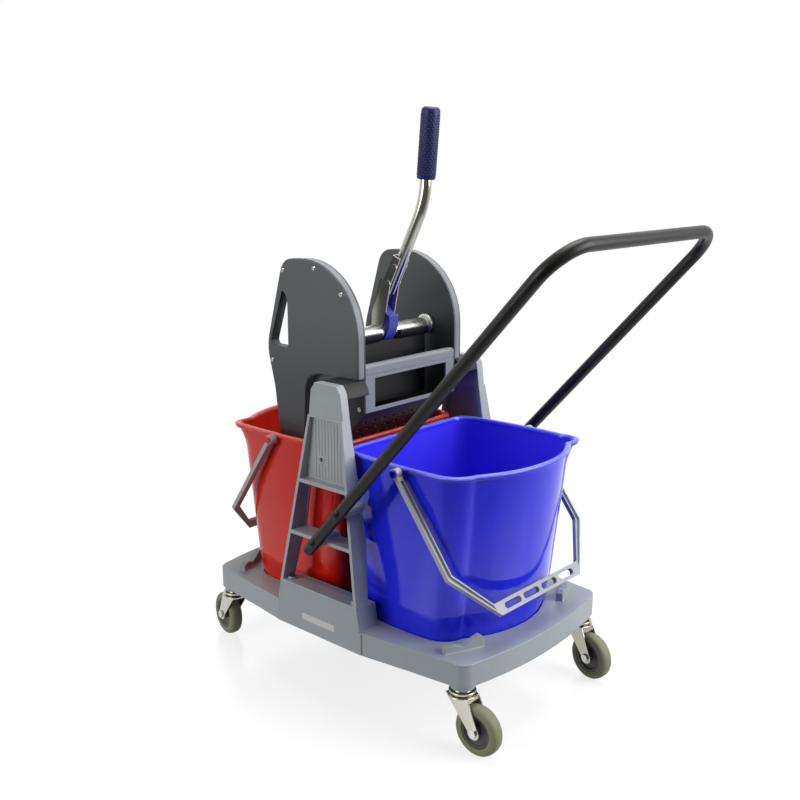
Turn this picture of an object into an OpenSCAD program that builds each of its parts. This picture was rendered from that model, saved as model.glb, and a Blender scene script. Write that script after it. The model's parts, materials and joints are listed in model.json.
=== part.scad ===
// Double mop bucket trolley: a wheeled base with two buckets, side towers, a push handle and a lever wringer.
// +X points to the push handle's top, +Y to the far side, +Z up.
// The origin is on the floor under the base's middle.

/* [Casters] */
// Wheel diameter over the tyre
wheel_d = 90; // [82:1:96]
// Tyre width
tyre_w = 26; // [22:1:30]
// Distance of the axle from the swivel axis
caster_trail = 37; // [33:1:41]
// Radius of the axle bolt
axle_r = 5; // [4:0.5:6]
// Radius of the swivel stem
stem_r = 6; // [5:0.5:7]

/* [Base] */
// Distance of the swivel axes from the middle, along the trolley
wheelbase_half = 306; // [302:1:320]
// Distance of the swivel axes from the middle, across the trolley
track_half = 184; // [180:1:192]
// Height of the skirt
skirt_h = 43; // [38:1:50]
// Wall of the base moulding
base_wall = 4; // [3:0.5:5]
// Depth of the bucket seats below the rim
tray_depth = 15; // [10:1:20]
// Height of the side panels over the rim
panel_rise = 42; // [36:1:50]
// Half length of the side panels
panel_half_l = 113; // [108:1:118]
// Half width over the side panels
panel_half_w = 235; // [230:1:240]

/* [Towers] */
// Height of a tower from its foot to its top plate
tower_h = 333; // [320:1:345]
// Half length of a tower at its foot
tower_foot = 102; // [96:1:106]
// Half length of a tower at its top plate
tower_top = 44; // [40:1:48]
// Distance of the towers' inner faces from the middle
tower_in = 187; // [186:0.5:190]
// Height of the saddle that carries the wringer
saddle_h = 61; // [54:1:66]
// Thickness of the tower's legs and ribs
leg_t = 7; // [5:0.5:9]
// Radius of the accessory hole in each tower's web
hole_r = 4.2; // [3:0.1:6]

/* [Push handle] */
// Radius of the handle tube
handle_r = 11; // [10:0.5:13]
// Wall of the handle tube
handle_wall = 1.5; // [1.2:0.1:2.5]
// Length from the lower bolt to the top bar
handle_l = 758; // [700:1:800]
// Slope of the arms over the floor
handle_angle = 47.8; // [46:0.2:51]
// Radius of the two top bends
handle_bend = 65; // [50:1:80]
// Radius of the handle's bolts
bolt_r = 4; // [3:0.5:5]

/* [Buckets] */
// Height of a bucket
bucket_h = 328; // [315:1:332]
// Wall of a bucket
bucket_wall = 3.5; // [2.5:0.5:4.5]
// Width of the rolled lip
lip_w = 5; // [4:0.5:5.5]
// Reach of the pouring spout past the rim's corner
spout_reach = 16; // [10:1:20]
// Radius of the studs that carry a bail
stud_r = 5.5; // [4.5:0.5:6.5]

/* [Bails] */
// Length of the straight arms
bail_arm = 200; // [190:1:205]
// Reach of the bail past its arms
bail_reach = 94; // [88:1:98]
// Half length of the grip's inner edge
bail_grip = 129; // [120:1:135]
// Thickness of the bail's strap
bail_depth = 9; // [7:1:11]
// Angle below the horizontal at which the bails hang
bail_hang = 53.2; // [50:0.2:54]

/* [Wringer] */
// Distance of the wringer's side panels from the middle
side_in = 127; // [124:1:129]
// Thickness over the wringer's sides
side_t = 21; // [19:1:23]
// Radius of the sides' domed top
dome_r = 139; // [136:1:142]
// Depth of the basket below the saddle
basket_depth = 161; // [154:1:164]
// Radius of the press shaft
shaft_r = 14; // [12:0.5:16]
// Length of the press plate below the shaft's axis
press_l = 138; // [120:1:142]

/* [Lever] */
// Lean of the lever from the vertical
lever_lean = 26.8; // [24:0.2:29]
// Radius of the lever tube
lever_r = 11; // [10:0.5:12]
// Bend of the lever towards its grip
lever_bend = 21.8; // [20:0.2:28]
// Length of the grip
grip_l = 137; // [115:1:145]
// Radius of the grip
grip_r = 18; // [15:0.5:20]

/* [Hidden] */
$fn = 48;
// Clearances: running pins, fixed fits and free gaps
run = 0.05;
snug = 0.05;
gap = 0.3;
eps = 1;

// Caster heights
wheel_r = wheel_d / 2;
wheel_gap = 9;
crown_t = 3;
crown_r = 26;
leg_reach = crown_r - 2;
race_h = 10.7;
race_r = 24;
race_neck = 17;
race_lip = 3.2;
crown_z = wheel_d + wheel_gap;
race_z = crown_z + crown_t + gap;
boss_z = race_z + race_h;
fork_t = 2.5;
fork_gap = 1.5;
fork_eye = 12;
fork_in = tyre_w / 2 + fork_gap;
hub_r = 30;
hub_boss = 10;
stem_in = 36;
rivet_r = 10;
rivet_h = 3;
rivet_z = crown_z - gap - rivet_h;
corners = ["near_front", "far_front", "near_rear", "far_rear"];
caster_turn = [0, -12, 167, 190];

// Base heights and outline
boss_drop = 9;
boss_r = 21;
corner_r = 25;
end_reach = 46;
skirt_z = boss_z + boss_drop;
rim_z = skirt_z + skirt_h;
tray_z = rim_z - tray_depth;
panel_z = rim_z + panel_rise;
panel_in = tower_in - 2;
end_x = wheelbase_half + end_reach;
seat_gap = 1.2;
seam_step = 3;
lug_h = 22;
lug_t = 13;
lug_l = 78;
lug_x = 14;
lug_y = 30;
lug_turn = -68;

// Tower
tower_z = panel_z + tower_h;
seat_z = tower_z + saddle_h;
web_t = 4;
window_margin = 9;
foot_t = 4;
high_web = 9;
foot_in = 17;
foot_lean = 116;
tower_lean = 27;
tower_out = panel_half_w;
tower_tip = tower_out - tower_lean;
tower_slope = (tower_top - tower_foot) / tower_h;
rib_rise = 103;
hole_rise = 43;
rib_low = panel_z + rib_rise;
rib_high = rib_low + rib_rise;
hole_z = rib_high + hole_rise;
saddle_top = 28;
saddle_chamfer = 14;
saddle_draft = 6;
saddle_t = 26;
hole_x = -18;
peg_r = 5;
peg_h = 10;
foot_bolt_x = tower_foot - 18;
foot_bolt_y = (tower_in + foot_in + tower_out) / 2;

// Handle, whose lower bolt sits on the towers' lower rib
handle_y = tower_out + 4.5;
handle_foot = 26;
bolt_x0 = 4;
bolt_z0 = rib_low + 3;
handle_c = cos(handle_angle);
handle_s = sin(handle_angle);
bolt_run = (tower_foot + tower_slope * (bolt_z0 - panel_z) - leg_t / 2 - bolt_x0)
    / (handle_c - tower_slope * handle_s);
bolts = [[bolt_x0, bolt_z0], [bolt_x0 + bolt_run * handle_c, bolt_z0 + bolt_run * handle_s]];
boss_bolt_r = 11;
bolt_head = 8;
bolt_head_h = 5;
nut_h = 5;
plug_l = 18;
plug_cap = 3;

// Bucket outlines: inner end, inner half width, middle half width, outer corner x and half width, outer end
bucket_foot = [26, 155, 171, 250, 160, 298];
bucket_mouth = [14, 166, 182, 287, 174, 335];
inner_round = 28;
outer_round = 36;
corner_bulge = 7;
crease_h = 65;
crease_out = 3;
foot_round = 6;
floor_t = 4;
lip_h = 9;
spout_h = 48;
bucket_z = tray_z + bucket_h;

// Bails
bail_x = 163;
bail_z = bucket_z - 11;
red_hang = bail_hang + 1.6;
bail_t = 14;
bail_in = bucket_mouth[2] + lip_w + 2;
bail_out = bail_in + bail_t;
knee_ease = 3;
corner_in = 7;
bail_eye = 9;
bail_boss = 9.5;
boss_in = 10;
bail_strip = 24;
groove_rib = 3.5;
groove_d = 5;
groove_end = 4;
window_n = 4;
window_l = 46;
window_w = 11;
window_pitch = 55;
stud_head = 2;
head_r = stud_r + 2;

// Wringer
skin_t = 4;
side_out = side_in + side_t;
frame_in = side_in + skin_t;
frame_out = side_out - skin_t;
frame_w = 8;
collar_w = 4.5;
cover_step = 1.5;
frame_mid = (frame_in + frame_out) / 2;
dome_x = -113;
dome_z = seat_z + 73;
front_x = dome_x + dome_r;
shaft_x = -45;
shaft_z = seat_z + 67;
basket_z = seat_z - basket_depth;
rail_t = 14;
rail_up = 25;
rail_low = 6;
rail_ease = 4;
grille_t = 5;
grille_rise = 59;
rim_gap = 23;
grille_bar = 7;
grille_side = 25;
sieve_t = 5;
sieve_hole = 4.5;
hole_pitch = 26;
front_hole_z = 40;
rear_hole_z = 28;
trim_l = 16 * sieve_t;
floor_back = -188;
floor_hole_x = -166;
floor_screw_x = -110;
rear_top = -36;
screw_r = 2;
screw_head = 4.5;
screw_head_h = 2.2;
basket_head_h = 0.8;
basket_screw_l = 10;
screw_boss = 6;
stub_r = 8;
bush_r = 12;
bush_flange = 16;
bush_flange_t = 1.6;
bush_in = 9;
flange_r = 20;
flange_t = 8;
flange_y = side_in - bush_flange_t - gap;
spring_w = 5;
spring_t = 1.2;
spring_turns = 3.5;
spring_r0 = stub_r + 1.2;
spring_step = 4;
press_t = 7;
press_gap = 11;
cradle_t = 6;
press_saddle_in = 26;
press_ribs = 6;
press_rib = 6;
press_rib_y = side_in - press_gap - 17;
press_rib_low = 8;

// Lever
lever_back = 22;
fork_l = 150;
fork_plate = 3;
fork_behind = lever_back + 14;
fork_before = lever_back - 5;
fork_ring = 19;
clamp_t = 1;
clamp_out = 17.5;
insert_l = 76;
cap_half = 13;
cap_l = 40;
insert_back = -fork_behind + fork_plate + snug;
lever_l1 = 234;
lever_bend_r = 165;
lever_in = lever_r + 0.2;
lever_bolt_r = 3;
bolt_low = 1.8;
lever_bolt_s = [fork_l - 54, fork_l - 18];
grip_neck = 0.3;
grip_cap = 6;
grip_round = 6;

/* Point lists and helpers */
function quad(a, b, c, n) = [for (i = [0:n - 1])
    let (t = i / n) a * (1 - t) * (1 - t) + b * 2 * t * (1 - t) + c * t * t];
function arc(c, r, a0, a1, n) = [for (i = [0:n])
    let (a = a0 + (a1 - a0) * i / n) c + r * [cos(a), sin(a)]];
function backwards(p) = [for (i = [len(p) - 1:-1:0]) p[i]];
function unit(v) = v / norm(v);
function left(v) = [-v[1], v[0]];

// Counter-clockwise polygon moved inwards by d
function inset(p, d) = [for (i = [0:len(p) - 1])
    let (n = len(p), e1 = unit(p[i] - p[(i + n - 1) % n]), e2 = unit(p[(i + 1) % n] - p[i]))
    p[i] + d * (left(e1) + left(e2)) / (1 + left(e1) * left(e2))];

// Polygon with each corner eased over the length given for it
function soften(p, cut, n = 5) = [for (i = [0:len(p) - 1])
    let (m = len(p),
        a = p[i] + cut[i] * unit(p[(i + m - 1) % m] - p[i]),
        b = p[i] + cut[i] * unit(p[(i + 1) % m] - p[i]))
    each cut[i] == 0 ? [p[i]] : concat(quad(a, p[i], b, n), [b])];

// Plan outline of the base, moved inwards by d
function base_corner(d) = [wheelbase_half, track_half] + (corner_r - d) * [cos(8), sin(8)];
function base_quarter(d) = concat(
    [for (i = [0:4])
        let (t = i / 5, c = base_corner(d)) [end_x - d - (end_x - d - c[0]) * t * t, c[1] * t]],
    arc([wheelbase_half, track_half], corner_r - d, 8, 76, 6),
    [[panel_half_l, panel_half_w - seam_step - d], [panel_half_l, panel_half_w - d]]);
function base_half(d) = concat(base_quarter(d), backwards([for (p = base_quarter(d)) [-p[0], p[1]]]));
function base_outline(d) = let (h = base_half(d), n = len(h))
    concat(h, [for (i = [n - 2:-1:1]) [h[i][0], -h[i][1]]]);

// Plan outline of a bucket at one level: o holds the six sizes, g grows it and s pulls out the spout's corner
function bucket_half(o, g, s) = let (
    x0 = o[0] - g, w0 = o[1] + g, w1 = o[2] + g, x2 = o[3] + g, w2 = o[4] + g, x3 = o[5] + g,
    a = [x0, w0 - inner_round], b = [x0 + inner_round, w0 + corner_bulge],
    d = [x2 - outer_round, w2 + corner_bulge],
    e = [x2 + 6, w2 - outer_round], c = [(b[0] + d[0]) / 2, 2 * w1 - (b[1] + d[1]) / 2])
    concat(quad(a, [x0, w0], b, 4), quad(b, c, d, 6), quad(d, [x2 + s, w2 + s], e, 5),
        quad(e, [x3, e[1] * 0.55], [x3, 0], 5), [[x3, 0]]);
function bucket_ring(o, g, s) = let (h = bucket_half(o, g, s), k = bucket_half(o, g, 0))
    concat(h, [for (i = [len(k) - 2:-1:0]) [k[i][0], -k[i][1]]]);
function bucket_at(z) = bucket_foot + (bucket_mouth - bucket_foot) * (z - tray_z) / bucket_h;
function lifted(ring, z) = [for (p = ring) [p[0], p[1], z]];

// Wringer side in X and Z: its corners, and how far each is eased
function side_corners() = concat(
    [[front_x, seat_z]],
    arc([dome_x, dome_z], dome_r, 0, 95, 14),
    [[-172, dome_z + dome_r - 2], [-223, seat_z + 37], [-203, seat_z - 41], [floor_back, basket_z],
        [-120, basket_z], [-112, seat_z]]);
side_eases = concat([5], [for (i = [0:14]) 0], [28, 25, 8, 7, 7, 42]);
function side_outline(d) = soften(inset(side_corners(), d), side_eases);
slot_corners = [[-160, seat_z + 40], [-160, seat_z + 135], [-174, seat_z + 151],
    [-210, seat_z + 48], [-205, seat_z + 40]];
slot_eases = [7, 9, 7, 4, 4];
function slot_outline(d) = soften(inset(slot_corners, d), slot_eases);
cover_screws_at = [[-170, seat_z + 187], [-84, seat_z + 196], [-14, seat_z + 154], [-207, seat_z + 10]];
grille_z = bucket_z + grille_rise;
grille_h = seat_z + rail_low - grille_z;
front_top = [front_x, grille_z];
rim_point = [lip_w - bucket_mouth[0], bucket_z + rim_gap];
front_slope = (front_x - rim_point[0]) / (grille_z - rim_point[1]);
front_foot_x = front_x - (grille_z - basket_z - sieve_t) * front_slope;
front_foot = [front_foot_x, basket_z + sieve_t];
front_tilt = atan2(front_top[0] - front_foot[0], front_top[1] - front_foot[1]);
front_l = norm(front_top - front_foot);
rear_foot = [floor_back + sieve_t, basket_z + sieve_t];
rear_screw_z = basket_z + basket_depth * 0.37;
rear_head = [-196, seat_z + rear_top];
rear_tilt = atan2(rear_head[0] - rear_foot[0], rear_head[1] - rear_foot[1]);
rear_l = norm(rear_head - rear_foot);

function tower_half(z) = tower_foot + tower_slope * (z - panel_z);

// Draws an X and Z outline between two Y values
module xz(y0, y1) { translate([0, y1, 0]) rotate([90, 0, 0]) linear_extrude(y1 - y0) children(); }
// Draws a Y and Z outline between two X values
module yz(x0, x1) { translate([x0, 0, 0]) rotate([90, 0, 90]) linear_extrude(x1 - x0) children(); }
// Round bar along Y
module bar_y(x, z, r, y0, y1) { translate([x, y1, z]) rotate([90, 0, 0]) cylinder(r = r, h = y1 - y0); }
module both_sides() { children(); mirror([0, 1, 0]) children(); }
module both_ends() { children(); mirror([1, 0, 0]) children(); }
module at_corner(i) {
    x = i < 2 ? wheelbase_half : -wheelbase_half;
    y = i % 2 == 0 ? -track_half : track_half;
    translate([x, y, 0]) children();
}
module at_caster(i) { at_corner(i) rotate([0, 0, caster_turn[i]]) children(); }

/* Casters */
module caster_fork(i) color("silver") at_caster(i) difference() {
    union() {
        translate([0, 0, crown_z]) cylinder(r = crown_r, h = crown_t);
        both_sides() xz(fork_in, fork_in + fork_t) union() {
            polygon([[-leg_reach, crown_z + crown_t], [caster_trail - fork_eye, wheel_r],
                [caster_trail + fork_eye, wheel_r], [leg_reach, crown_z + crown_t]]);
            translate([caster_trail, wheel_r]) circle(r = fork_eye);
        }
        translate([-leg_reach, -fork_in - fork_t, crown_z])
            cube([2 * leg_reach, 2 * (fork_in + fork_t), crown_t]);
    }
    translate([0, 0, crown_z - eps]) cylinder(r = stem_r + run, h = crown_t + 2 * eps);
    bar_y(caster_trail, wheel_r, axle_r + snug, -fork_in - fork_t - eps, fork_in + fork_t + eps);
}
module caster_axle(i) color("gainsboro") at_caster(i) union() {
    bar_y(caster_trail, wheel_r, axle_r, -fork_in - fork_t, fork_in + fork_t);
    both_sides() translate([caster_trail, fork_in + fork_t, wheel_r]) rotate([-90, 0, 0])
        cylinder(r = axle_r + 3, h = axle_r * 0.8, $fn = 6);
}
module at_axle(i) at_caster(i) translate([caster_trail, 0, wheel_r]) rotate([90, 0, 0]) children();
module caster_hub(i) color("dimgray") at_axle(i)
    rotate_extrude() polygon([[axle_r + run, -fork_in + gap], [hub_boss, -fork_in + gap],
        [hub_boss, -tyre_w / 2 + 6], [hub_r - 6, -tyre_w / 2 + 6], [hub_r - 4, -tyre_w / 2 + 2],
        [hub_r, -tyre_w / 2 + 2], [hub_r, tyre_w / 2 - 2], [hub_r - 4, tyre_w / 2 - 2],
        [hub_r - 6, tyre_w / 2 - 6], [hub_boss, tyre_w / 2 - 6],
        [hub_boss, fork_in - gap], [axle_r + run, fork_in - gap]]);
module caster_tyre(i) color("darkkhaki") at_axle(i)
    rotate_extrude() polygon([[hub_r + snug, -tyre_w / 2 + 1], [wheel_r - 8, -tyre_w / 2],
        [wheel_r - 3, -tyre_w / 2 + 2], [wheel_r, -tyre_w / 2 + 6], [wheel_r, tyre_w / 2 - 6],
        [wheel_r - 3, tyre_w / 2 - 2], [wheel_r - 8, tyre_w / 2], [hub_r + snug, tyre_w / 2 - 1]]);
module caster_stems() color("gainsboro") for (i = [0:3]) at_corner(i) union() {
    translate([0, 0, rivet_z]) cylinder(r = rivet_r, h = rivet_h);
    translate([0, 0, rivet_z]) cylinder(r = stem_r, h = boss_z + stem_in - rivet_z);
}
module caster_races() color("silver") for (i = [0:3]) at_corner(i) translate([0, 0, race_z])
    rotate_extrude() polygon([[stem_r + snug, 0], [race_r - race_lip, 0], [race_r, race_h - 2 * race_lip],
        [race_r, race_h - race_lip], [race_neck, race_h - race_lip], [race_neck, race_h],
        [stem_r + snug, race_h]]);

/* Base */
module seat_outline(g) for (turn = [0, 180])
    rotate(turn) polygon(bucket_ring(bucket_at(rim_z), seat_gap + g, 0));
// Two-humped guide across a bucket's outer corner
module lug_face() polygon([[0, -eps], [lug_l, -eps], [lug_l, lug_h * 0.7], [lug_l * 0.9, lug_h],
    [lug_l * 0.45, lug_h * 0.35], [lug_l * 0.2, lug_h * 0.7], [0, lug_h * 0.5]]);
module bucket_lugs() both_ends() both_sides()
    translate([bucket_foot[3] + lug_x, bucket_foot[4] + lug_y, rim_z])
    rotate([0, 0, lug_turn]) xz(0, lug_t) lug_face();
// Side panel in X and Z: its ends carry on the slope of the tower's legs
module panel_face(d) polygon([[-tower_half(skirt_z) + d, skirt_z - d], [tower_half(skirt_z) - d, skirt_z - d],
    [tower_foot - d, panel_z - d], [-tower_foot + d, panel_z - d]]);
module base_tray() color("darkgray") difference() {
    union() {
        difference() {
            union() {
                translate([0, 0, skirt_z]) linear_extrude(skirt_h) polygon(base_outline(0));
                both_sides() xz(panel_in, panel_half_w) intersection() {
                    panel_face(0);
                    translate([-panel_half_l, skirt_z]) square([2 * panel_half_l, panel_z - skirt_z]);
                }
            }
            translate([0, 0, tray_z]) linear_extrude(tray_depth + eps) seat_outline(0);
            translate([0, 0, skirt_z - eps]) linear_extrude(tray_z - base_wall - skirt_z + eps)
                polygon(base_outline(base_wall));
            translate([0, 0, tray_z - base_wall - eps]) linear_extrude(tray_depth + eps) difference() {
                polygon(base_outline(base_wall));
                seat_outline(base_wall);
            }
            both_sides() xz(panel_in + base_wall, panel_half_w - base_wall) intersection() {
                panel_face(base_wall);
                translate([base_wall - panel_half_l, skirt_z - eps])
                    square([2 * (panel_half_l - base_wall), panel_z - skirt_z]);
            }
        }
        for (i = [0:3]) at_corner(i) translate([0, 0, boss_z]) cylinder(r = boss_r, h = rim_z - boss_z);
        bucket_lugs();
    }
    for (i = [0:3]) at_corner(i) translate([0, 0, boss_z - eps])
        cylinder(r = stem_r + snug, h = stem_in + eps);
    at_foot_bolts() translate([0, 0, panel_z - 2 * base_wall])
        cylinder(r = bolt_r + snug, h = 2 * base_wall + eps);
}

/* Towers */
module tower_outline() polygon([[-tower_half(panel_z), panel_z], [tower_half(panel_z), panel_z],
    [tower_half(tower_z), tower_z], [-tower_half(tower_z), tower_z]]);
module tower_cell(z0, z1, m) polygon([[-tower_half(z0) + m, z0], [tower_half(z0) - m, z0],
    [tower_half(z1) - m, z1], [-tower_half(z1) + m, z1]]);
module saddle_outline() polygon([[-tower_top, tower_z], [tower_top, tower_z],
    [tower_top - saddle_draft, seat_z - saddle_chamfer], [saddle_top, seat_z], [-saddle_top, seat_z],
    [-tower_top + saddle_draft, seat_z - saddle_chamfer]]);
module saddle_shelf(y0, y1) intersection() {
    xz(y0, y1) saddle_outline();
    translate([-tower_top, 0, seat_z - saddle_t]) cube([2 * tower_top, tower_tip, saddle_t]);
}
module far_tower() color("darkgray") difference() {
    union() {
        intersection() {
            xz(tower_in, tower_out) difference() {
                tower_outline();
                tower_cell(panel_z + foot_t, rib_low - leg_t / 2, leg_t);
                tower_cell(rib_low + leg_t / 2, rib_high - leg_t / 2, leg_t);
                tower_cell(rib_high + leg_t / 2, tower_z - foot_t, leg_t);
            }
            yz(-tower_foot, tower_foot) polygon([[tower_in + foot_in, panel_z], [tower_out, panel_z],
                [tower_tip, tower_z], [tower_in, tower_z], [tower_in, panel_z + foot_lean]]);
        }
        xz(tower_in, tower_in + web_t) difference() {
            tower_outline();
            tower_cell(panel_z - eps, rib_low - leg_t / 2, -eps);
            tower_cell(rib_low + leg_t / 2, rib_high - leg_t / 2, window_margin);
            tower_cell(rib_high + leg_t / 2, tower_z - foot_t, window_margin);
        }
        xz(tower_in + high_web, tower_in + high_web + web_t) tower_cell(rib_high, tower_z, leg_t / 2);
        xz(tower_in, tower_tip - 3) saddle_outline();
        for (b = bolts) bar_y(b[0], b[1], boss_bolt_r, tower_in, handle_y - handle_r);
    }
    for (b = bolts) bar_y(b[0], b[1], bolt_r + snug, tower_in - eps, handle_y);
    bar_y(hole_x, hole_z, hole_r, tower_in, tower_in + high_web + web_t + eps);
    for (x = [-1, 1]) translate([x * foot_bolt_x, foot_bolt_y, panel_z - eps])
        cylinder(r = bolt_r + snug, h = foot_t + 2 * eps);
}
module near_tower() mirror([0, 1, 0]) far_tower();
module wringer_rests() color("#202020") both_sides() union() {
    saddle_shelf(frame_in + eps, tower_in);
    translate([0, frame_mid, seat_z - eps]) cylinder(r = peg_r, h = peg_h + eps);
}
module hex_y(x, z, r, y0, y1) {
    translate([x, y0, z]) rotate([-90, 0, 0]) cylinder(r = r, h = y1 - y0, $fn = 6);
}
module at_foot_bolts() for (x = [-1, 1], y = [-1, 1])
    translate([x * foot_bolt_x, y * foot_bolt_y, 0]) children();
module tower_bolts() color("silver") at_foot_bolts() union() {
    translate([0, 0, panel_z + foot_t]) cylinder(r = bolt_head, h = bolt_head_h, $fn = 6);
    translate([0, 0, panel_z - base_wall - nut_h]) cylinder(r = bolt_r, h = base_wall + nut_h + foot_t + eps);
    translate([0, 0, panel_z - base_wall - nut_h]) cylinder(r = bolt_head, h = nut_h, $fn = 6);
}

/* Push handle */
module handle_path(r) {
    run_l = handle_l + handle_foot - handle_bend;
    both_sides() union() {
        translate([0, handle_y, 0]) rotate([0, 90, 0]) cylinder(r = r, h = run_l);
        translate([run_l, handle_y - handle_bend, 0]) rotate_extrude(angle = 90)
            translate([handle_bend, 0]) circle(r = r);
    }
    translate([run_l + handle_bend, handle_y - handle_bend, 0]) rotate([90, 0, 0])
        cylinder(r = r, h = 2 * (handle_y - handle_bend));
}
module at_handle() translate([bolt_x0 - handle_foot * handle_c, 0, bolt_z0 - handle_foot * handle_s])
    rotate([0, -handle_angle, 0]) children();
module push_handle() color("#151515") difference() {
    at_handle() handle_path(handle_r);
    at_handle() handle_path(handle_r - handle_wall);
    at_handle() both_sides() translate([-eps, handle_y, 0]) rotate([0, 90, 0])
        cylinder(r = handle_r - handle_wall, h = 2 * eps);
    both_sides() for (b = bolts)
        bar_y(b[0], b[1], bolt_r + snug, handle_y - 2 * handle_r, handle_y + 2 * handle_r);
}
module handle_plug() {
    cylinder(r = handle_r, h = plug_cap);
    cylinder(r = handle_r - handle_wall - snug, h = plug_cap + plug_l - bolt_r);
}
module handle_plugs() color("black") at_handle() both_sides()
    translate([-plug_cap, handle_y, 0]) rotate([0, 90, 0]) handle_plug();
module handle_bolts() color("silver") both_sides() for (b = bolts) union() {
    bar_y(b[0], b[1], bolt_r, tower_in - nut_h, handle_y + handle_r + eps);
    translate([b[0], handle_y + handle_r, b[1]]) rotate([-90, 0, 0]) rotate_extrude()
        polygon([[0, 0], [bolt_head, 0], [bolt_head * 0.9, bolt_head_h * 0.5],
            [bolt_head * 0.5, bolt_head_h], [0, bolt_head_h]]);
}
module handle_nuts() color("silver") both_sides() for (b = bolts) difference() {
    hex_y(b[0], b[1], bolt_r + 3.5, tower_in - nut_h, tower_in);
    bar_y(b[0], b[1], bolt_r + snug, tower_in - nut_h - eps, tower_in + eps);
}

/* Buckets: closed cups lofted through outlines from the foot up the outside and down the inside */
function bucket_level(z, g, s) = lifted(bucket_ring(bucket_at(z), g, s), z);
bucket_rings = [
    bucket_level(tray_z, -foot_round, 0),
    bucket_level(tray_z + foot_round, 0, 0),
    bucket_level(tray_z + crease_h, crease_out, 0),
    bucket_level(bucket_z - spout_h, 0, 0),
    bucket_level(bucket_z - lip_h, 0, spout_reach * 0.8),
    bucket_level(bucket_z - lip_h, lip_w, spout_reach * 0.8),
    bucket_level(bucket_z - 2, lip_w, spout_reach),
    bucket_level(bucket_z, lip_w - 2, spout_reach),
    bucket_level(bucket_z, 2 - bucket_wall, spout_reach),
    bucket_level(bucket_z - 3, -bucket_wall, spout_reach),
    bucket_level(bucket_z - spout_h, -bucket_wall, 0),
    bucket_level(tray_z + crease_h, crease_out - bucket_wall, 0),
    bucket_level(tray_z + foot_round + floor_t, -bucket_wall, 0),
    bucket_level(tray_z + floor_t, -foot_round - bucket_wall, 0)];
module loft(rings) {
    n = len(rings[0]);
    last = len(rings) - 1;
    polyhedron([for (r = rings) each r], concat(
        [[for (i = [n - 1:-1:0]) i]],
        [for (k = [0:last - 1], i = [0:n - 1]) let (j = (i + 1) % n) each
            [[k * n + i, k * n + j, (k + 1) * n + j], [k * n + i, (k + 1) * n + j, (k + 1) * n + i]]],
        [[for (i = [0:n - 1]) last * n + i]]));
}
module bucket() {
    loft(bucket_rings);
    both_sides() union() {
        bar_y(bail_x, bail_z, bail_boss, bail_in - boss_in, bail_in - gap);
        bar_y(bail_x, bail_z, stud_r, bail_in - boss_in, bail_out + gap + eps);
        bar_y(bail_x, bail_z, head_r, bail_out + gap, bail_out + gap + stud_head);
    }
}
module blue_bucket() color("mediumblue") bucket();
module red_bucket() color("firebrick") rotate([0, 0, 180]) bucket();

/* Bails: a flat strap bent in its own plane, with a groove on its outer face and a ladder grip */
bail_knee = [bail_arm + knee_ease, bail_out];
bail_corner = [bail_arm + bail_reach, bail_grip - corner_in];
bail_neck = [bail_arm - knee_ease, bail_in];
bail_inner = [bail_arm + bail_reach - bail_strip, bail_grip];
groove_from = bail_eye + groove_end;
groove_edge = inset([[groove_from, bail_in], bail_neck, bail_inner, bail_corner, bail_knee,
    [groove_from, bail_out]], groove_rib);
bail_edge = [[0, bail_in], bail_neck, bail_inner, [bail_inner[0], 0], [bail_corner[0], 0],
    bail_corner, bail_knee, [0, bail_out]];
// Round-ended cell of the grip
module grip_cell(h) linear_extrude(h, center = true) union() {
    square([window_w, window_l - window_w], center = true);
    for (s = [-1, 1]) translate([0, s * (window_l - window_w) / 2]) circle(r = window_w / 2);
}
module bail(hang) translate([bail_x, 0, bail_z]) rotate([0, hang, 0]) difference() {
    union() {
        both_sides() linear_extrude(bail_depth, center = true) polygon(bail_edge);
        both_sides() bar_y(0, 0, bail_eye, bail_in, bail_out);
    }
    both_sides() bar_y(0, 0, stud_r + run, bail_in - eps, bail_out + eps);
    both_sides() translate([0, 0, bail_depth / 2 - groove_d])
        linear_extrude(groove_d + eps) polygon(groove_edge);
    for (i = [0:window_n - 1])
        translate([bail_arm + bail_reach - bail_strip / 2, (i - (window_n - 1) / 2) * window_pitch, 0])
            grip_cell(bail_depth + 2 * eps);
}
module blue_bail() color("lightgray") bail(bail_hang);
module red_bail() color("lightgray") rotate([0, 0, 180]) bail(red_hang);

/* Wringer: each side is a cover, a rim frame and an inner panel, with the basket between the panels */
module screw_spots() for (p = cover_screws_at) translate(p) children();
module far_side_cover() color("#4a4e52") difference() {
    union() {
        xz(frame_out, side_out - cover_step) polygon(side_outline(0));
        xz(side_out - cover_step, side_out) polygon(side_outline(cover_step));
        xz(frame_in, frame_out + eps) polygon(slot_outline(-collar_w));
    }
    xz(frame_in - eps, side_out + eps) polygon(slot_outline(0));
    xz(frame_out - eps, side_out + eps) screw_spots() circle(r = screw_r + snug);
}
module far_side_frame() color("gray") difference() {
    xz(frame_in, frame_out) difference() {
        union() {
            difference() {
                polygon(side_outline(0));
                polygon(side_outline(frame_w));
            }
            screw_spots() circle(r = screw_boss);
        }
        polygon(slot_outline(-collar_w - snug));
        screw_spots() circle(r = screw_r + snug);
    }
    translate([0, frame_mid, seat_z - eps]) cylinder(r = peg_r + gap, h = peg_h + 2 * eps);
    for (p = basket_screws_at)
        bar_y(p[0], p[1], screw_head + gap, frame_in - eps, frame_in + basket_head_h + gap);
}
module panel_outline() {
    polygon(side_outline(0));
    polygon([[front_x, seat_z + eps], [floor_back - 2, seat_z + eps], [floor_back + 1, basket_z],
        [front_foot_x, basket_z], front_foot, front_top]);
}
basket_screws_at = [[front_x - rail_t / 2, seat_z + rail_low + 10], [front_x - 13, grille_z + 6],
    [rear_foot[0] - 8, rear_screw_z], [floor_screw_x, basket_z + sieve_t / 2]];
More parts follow.
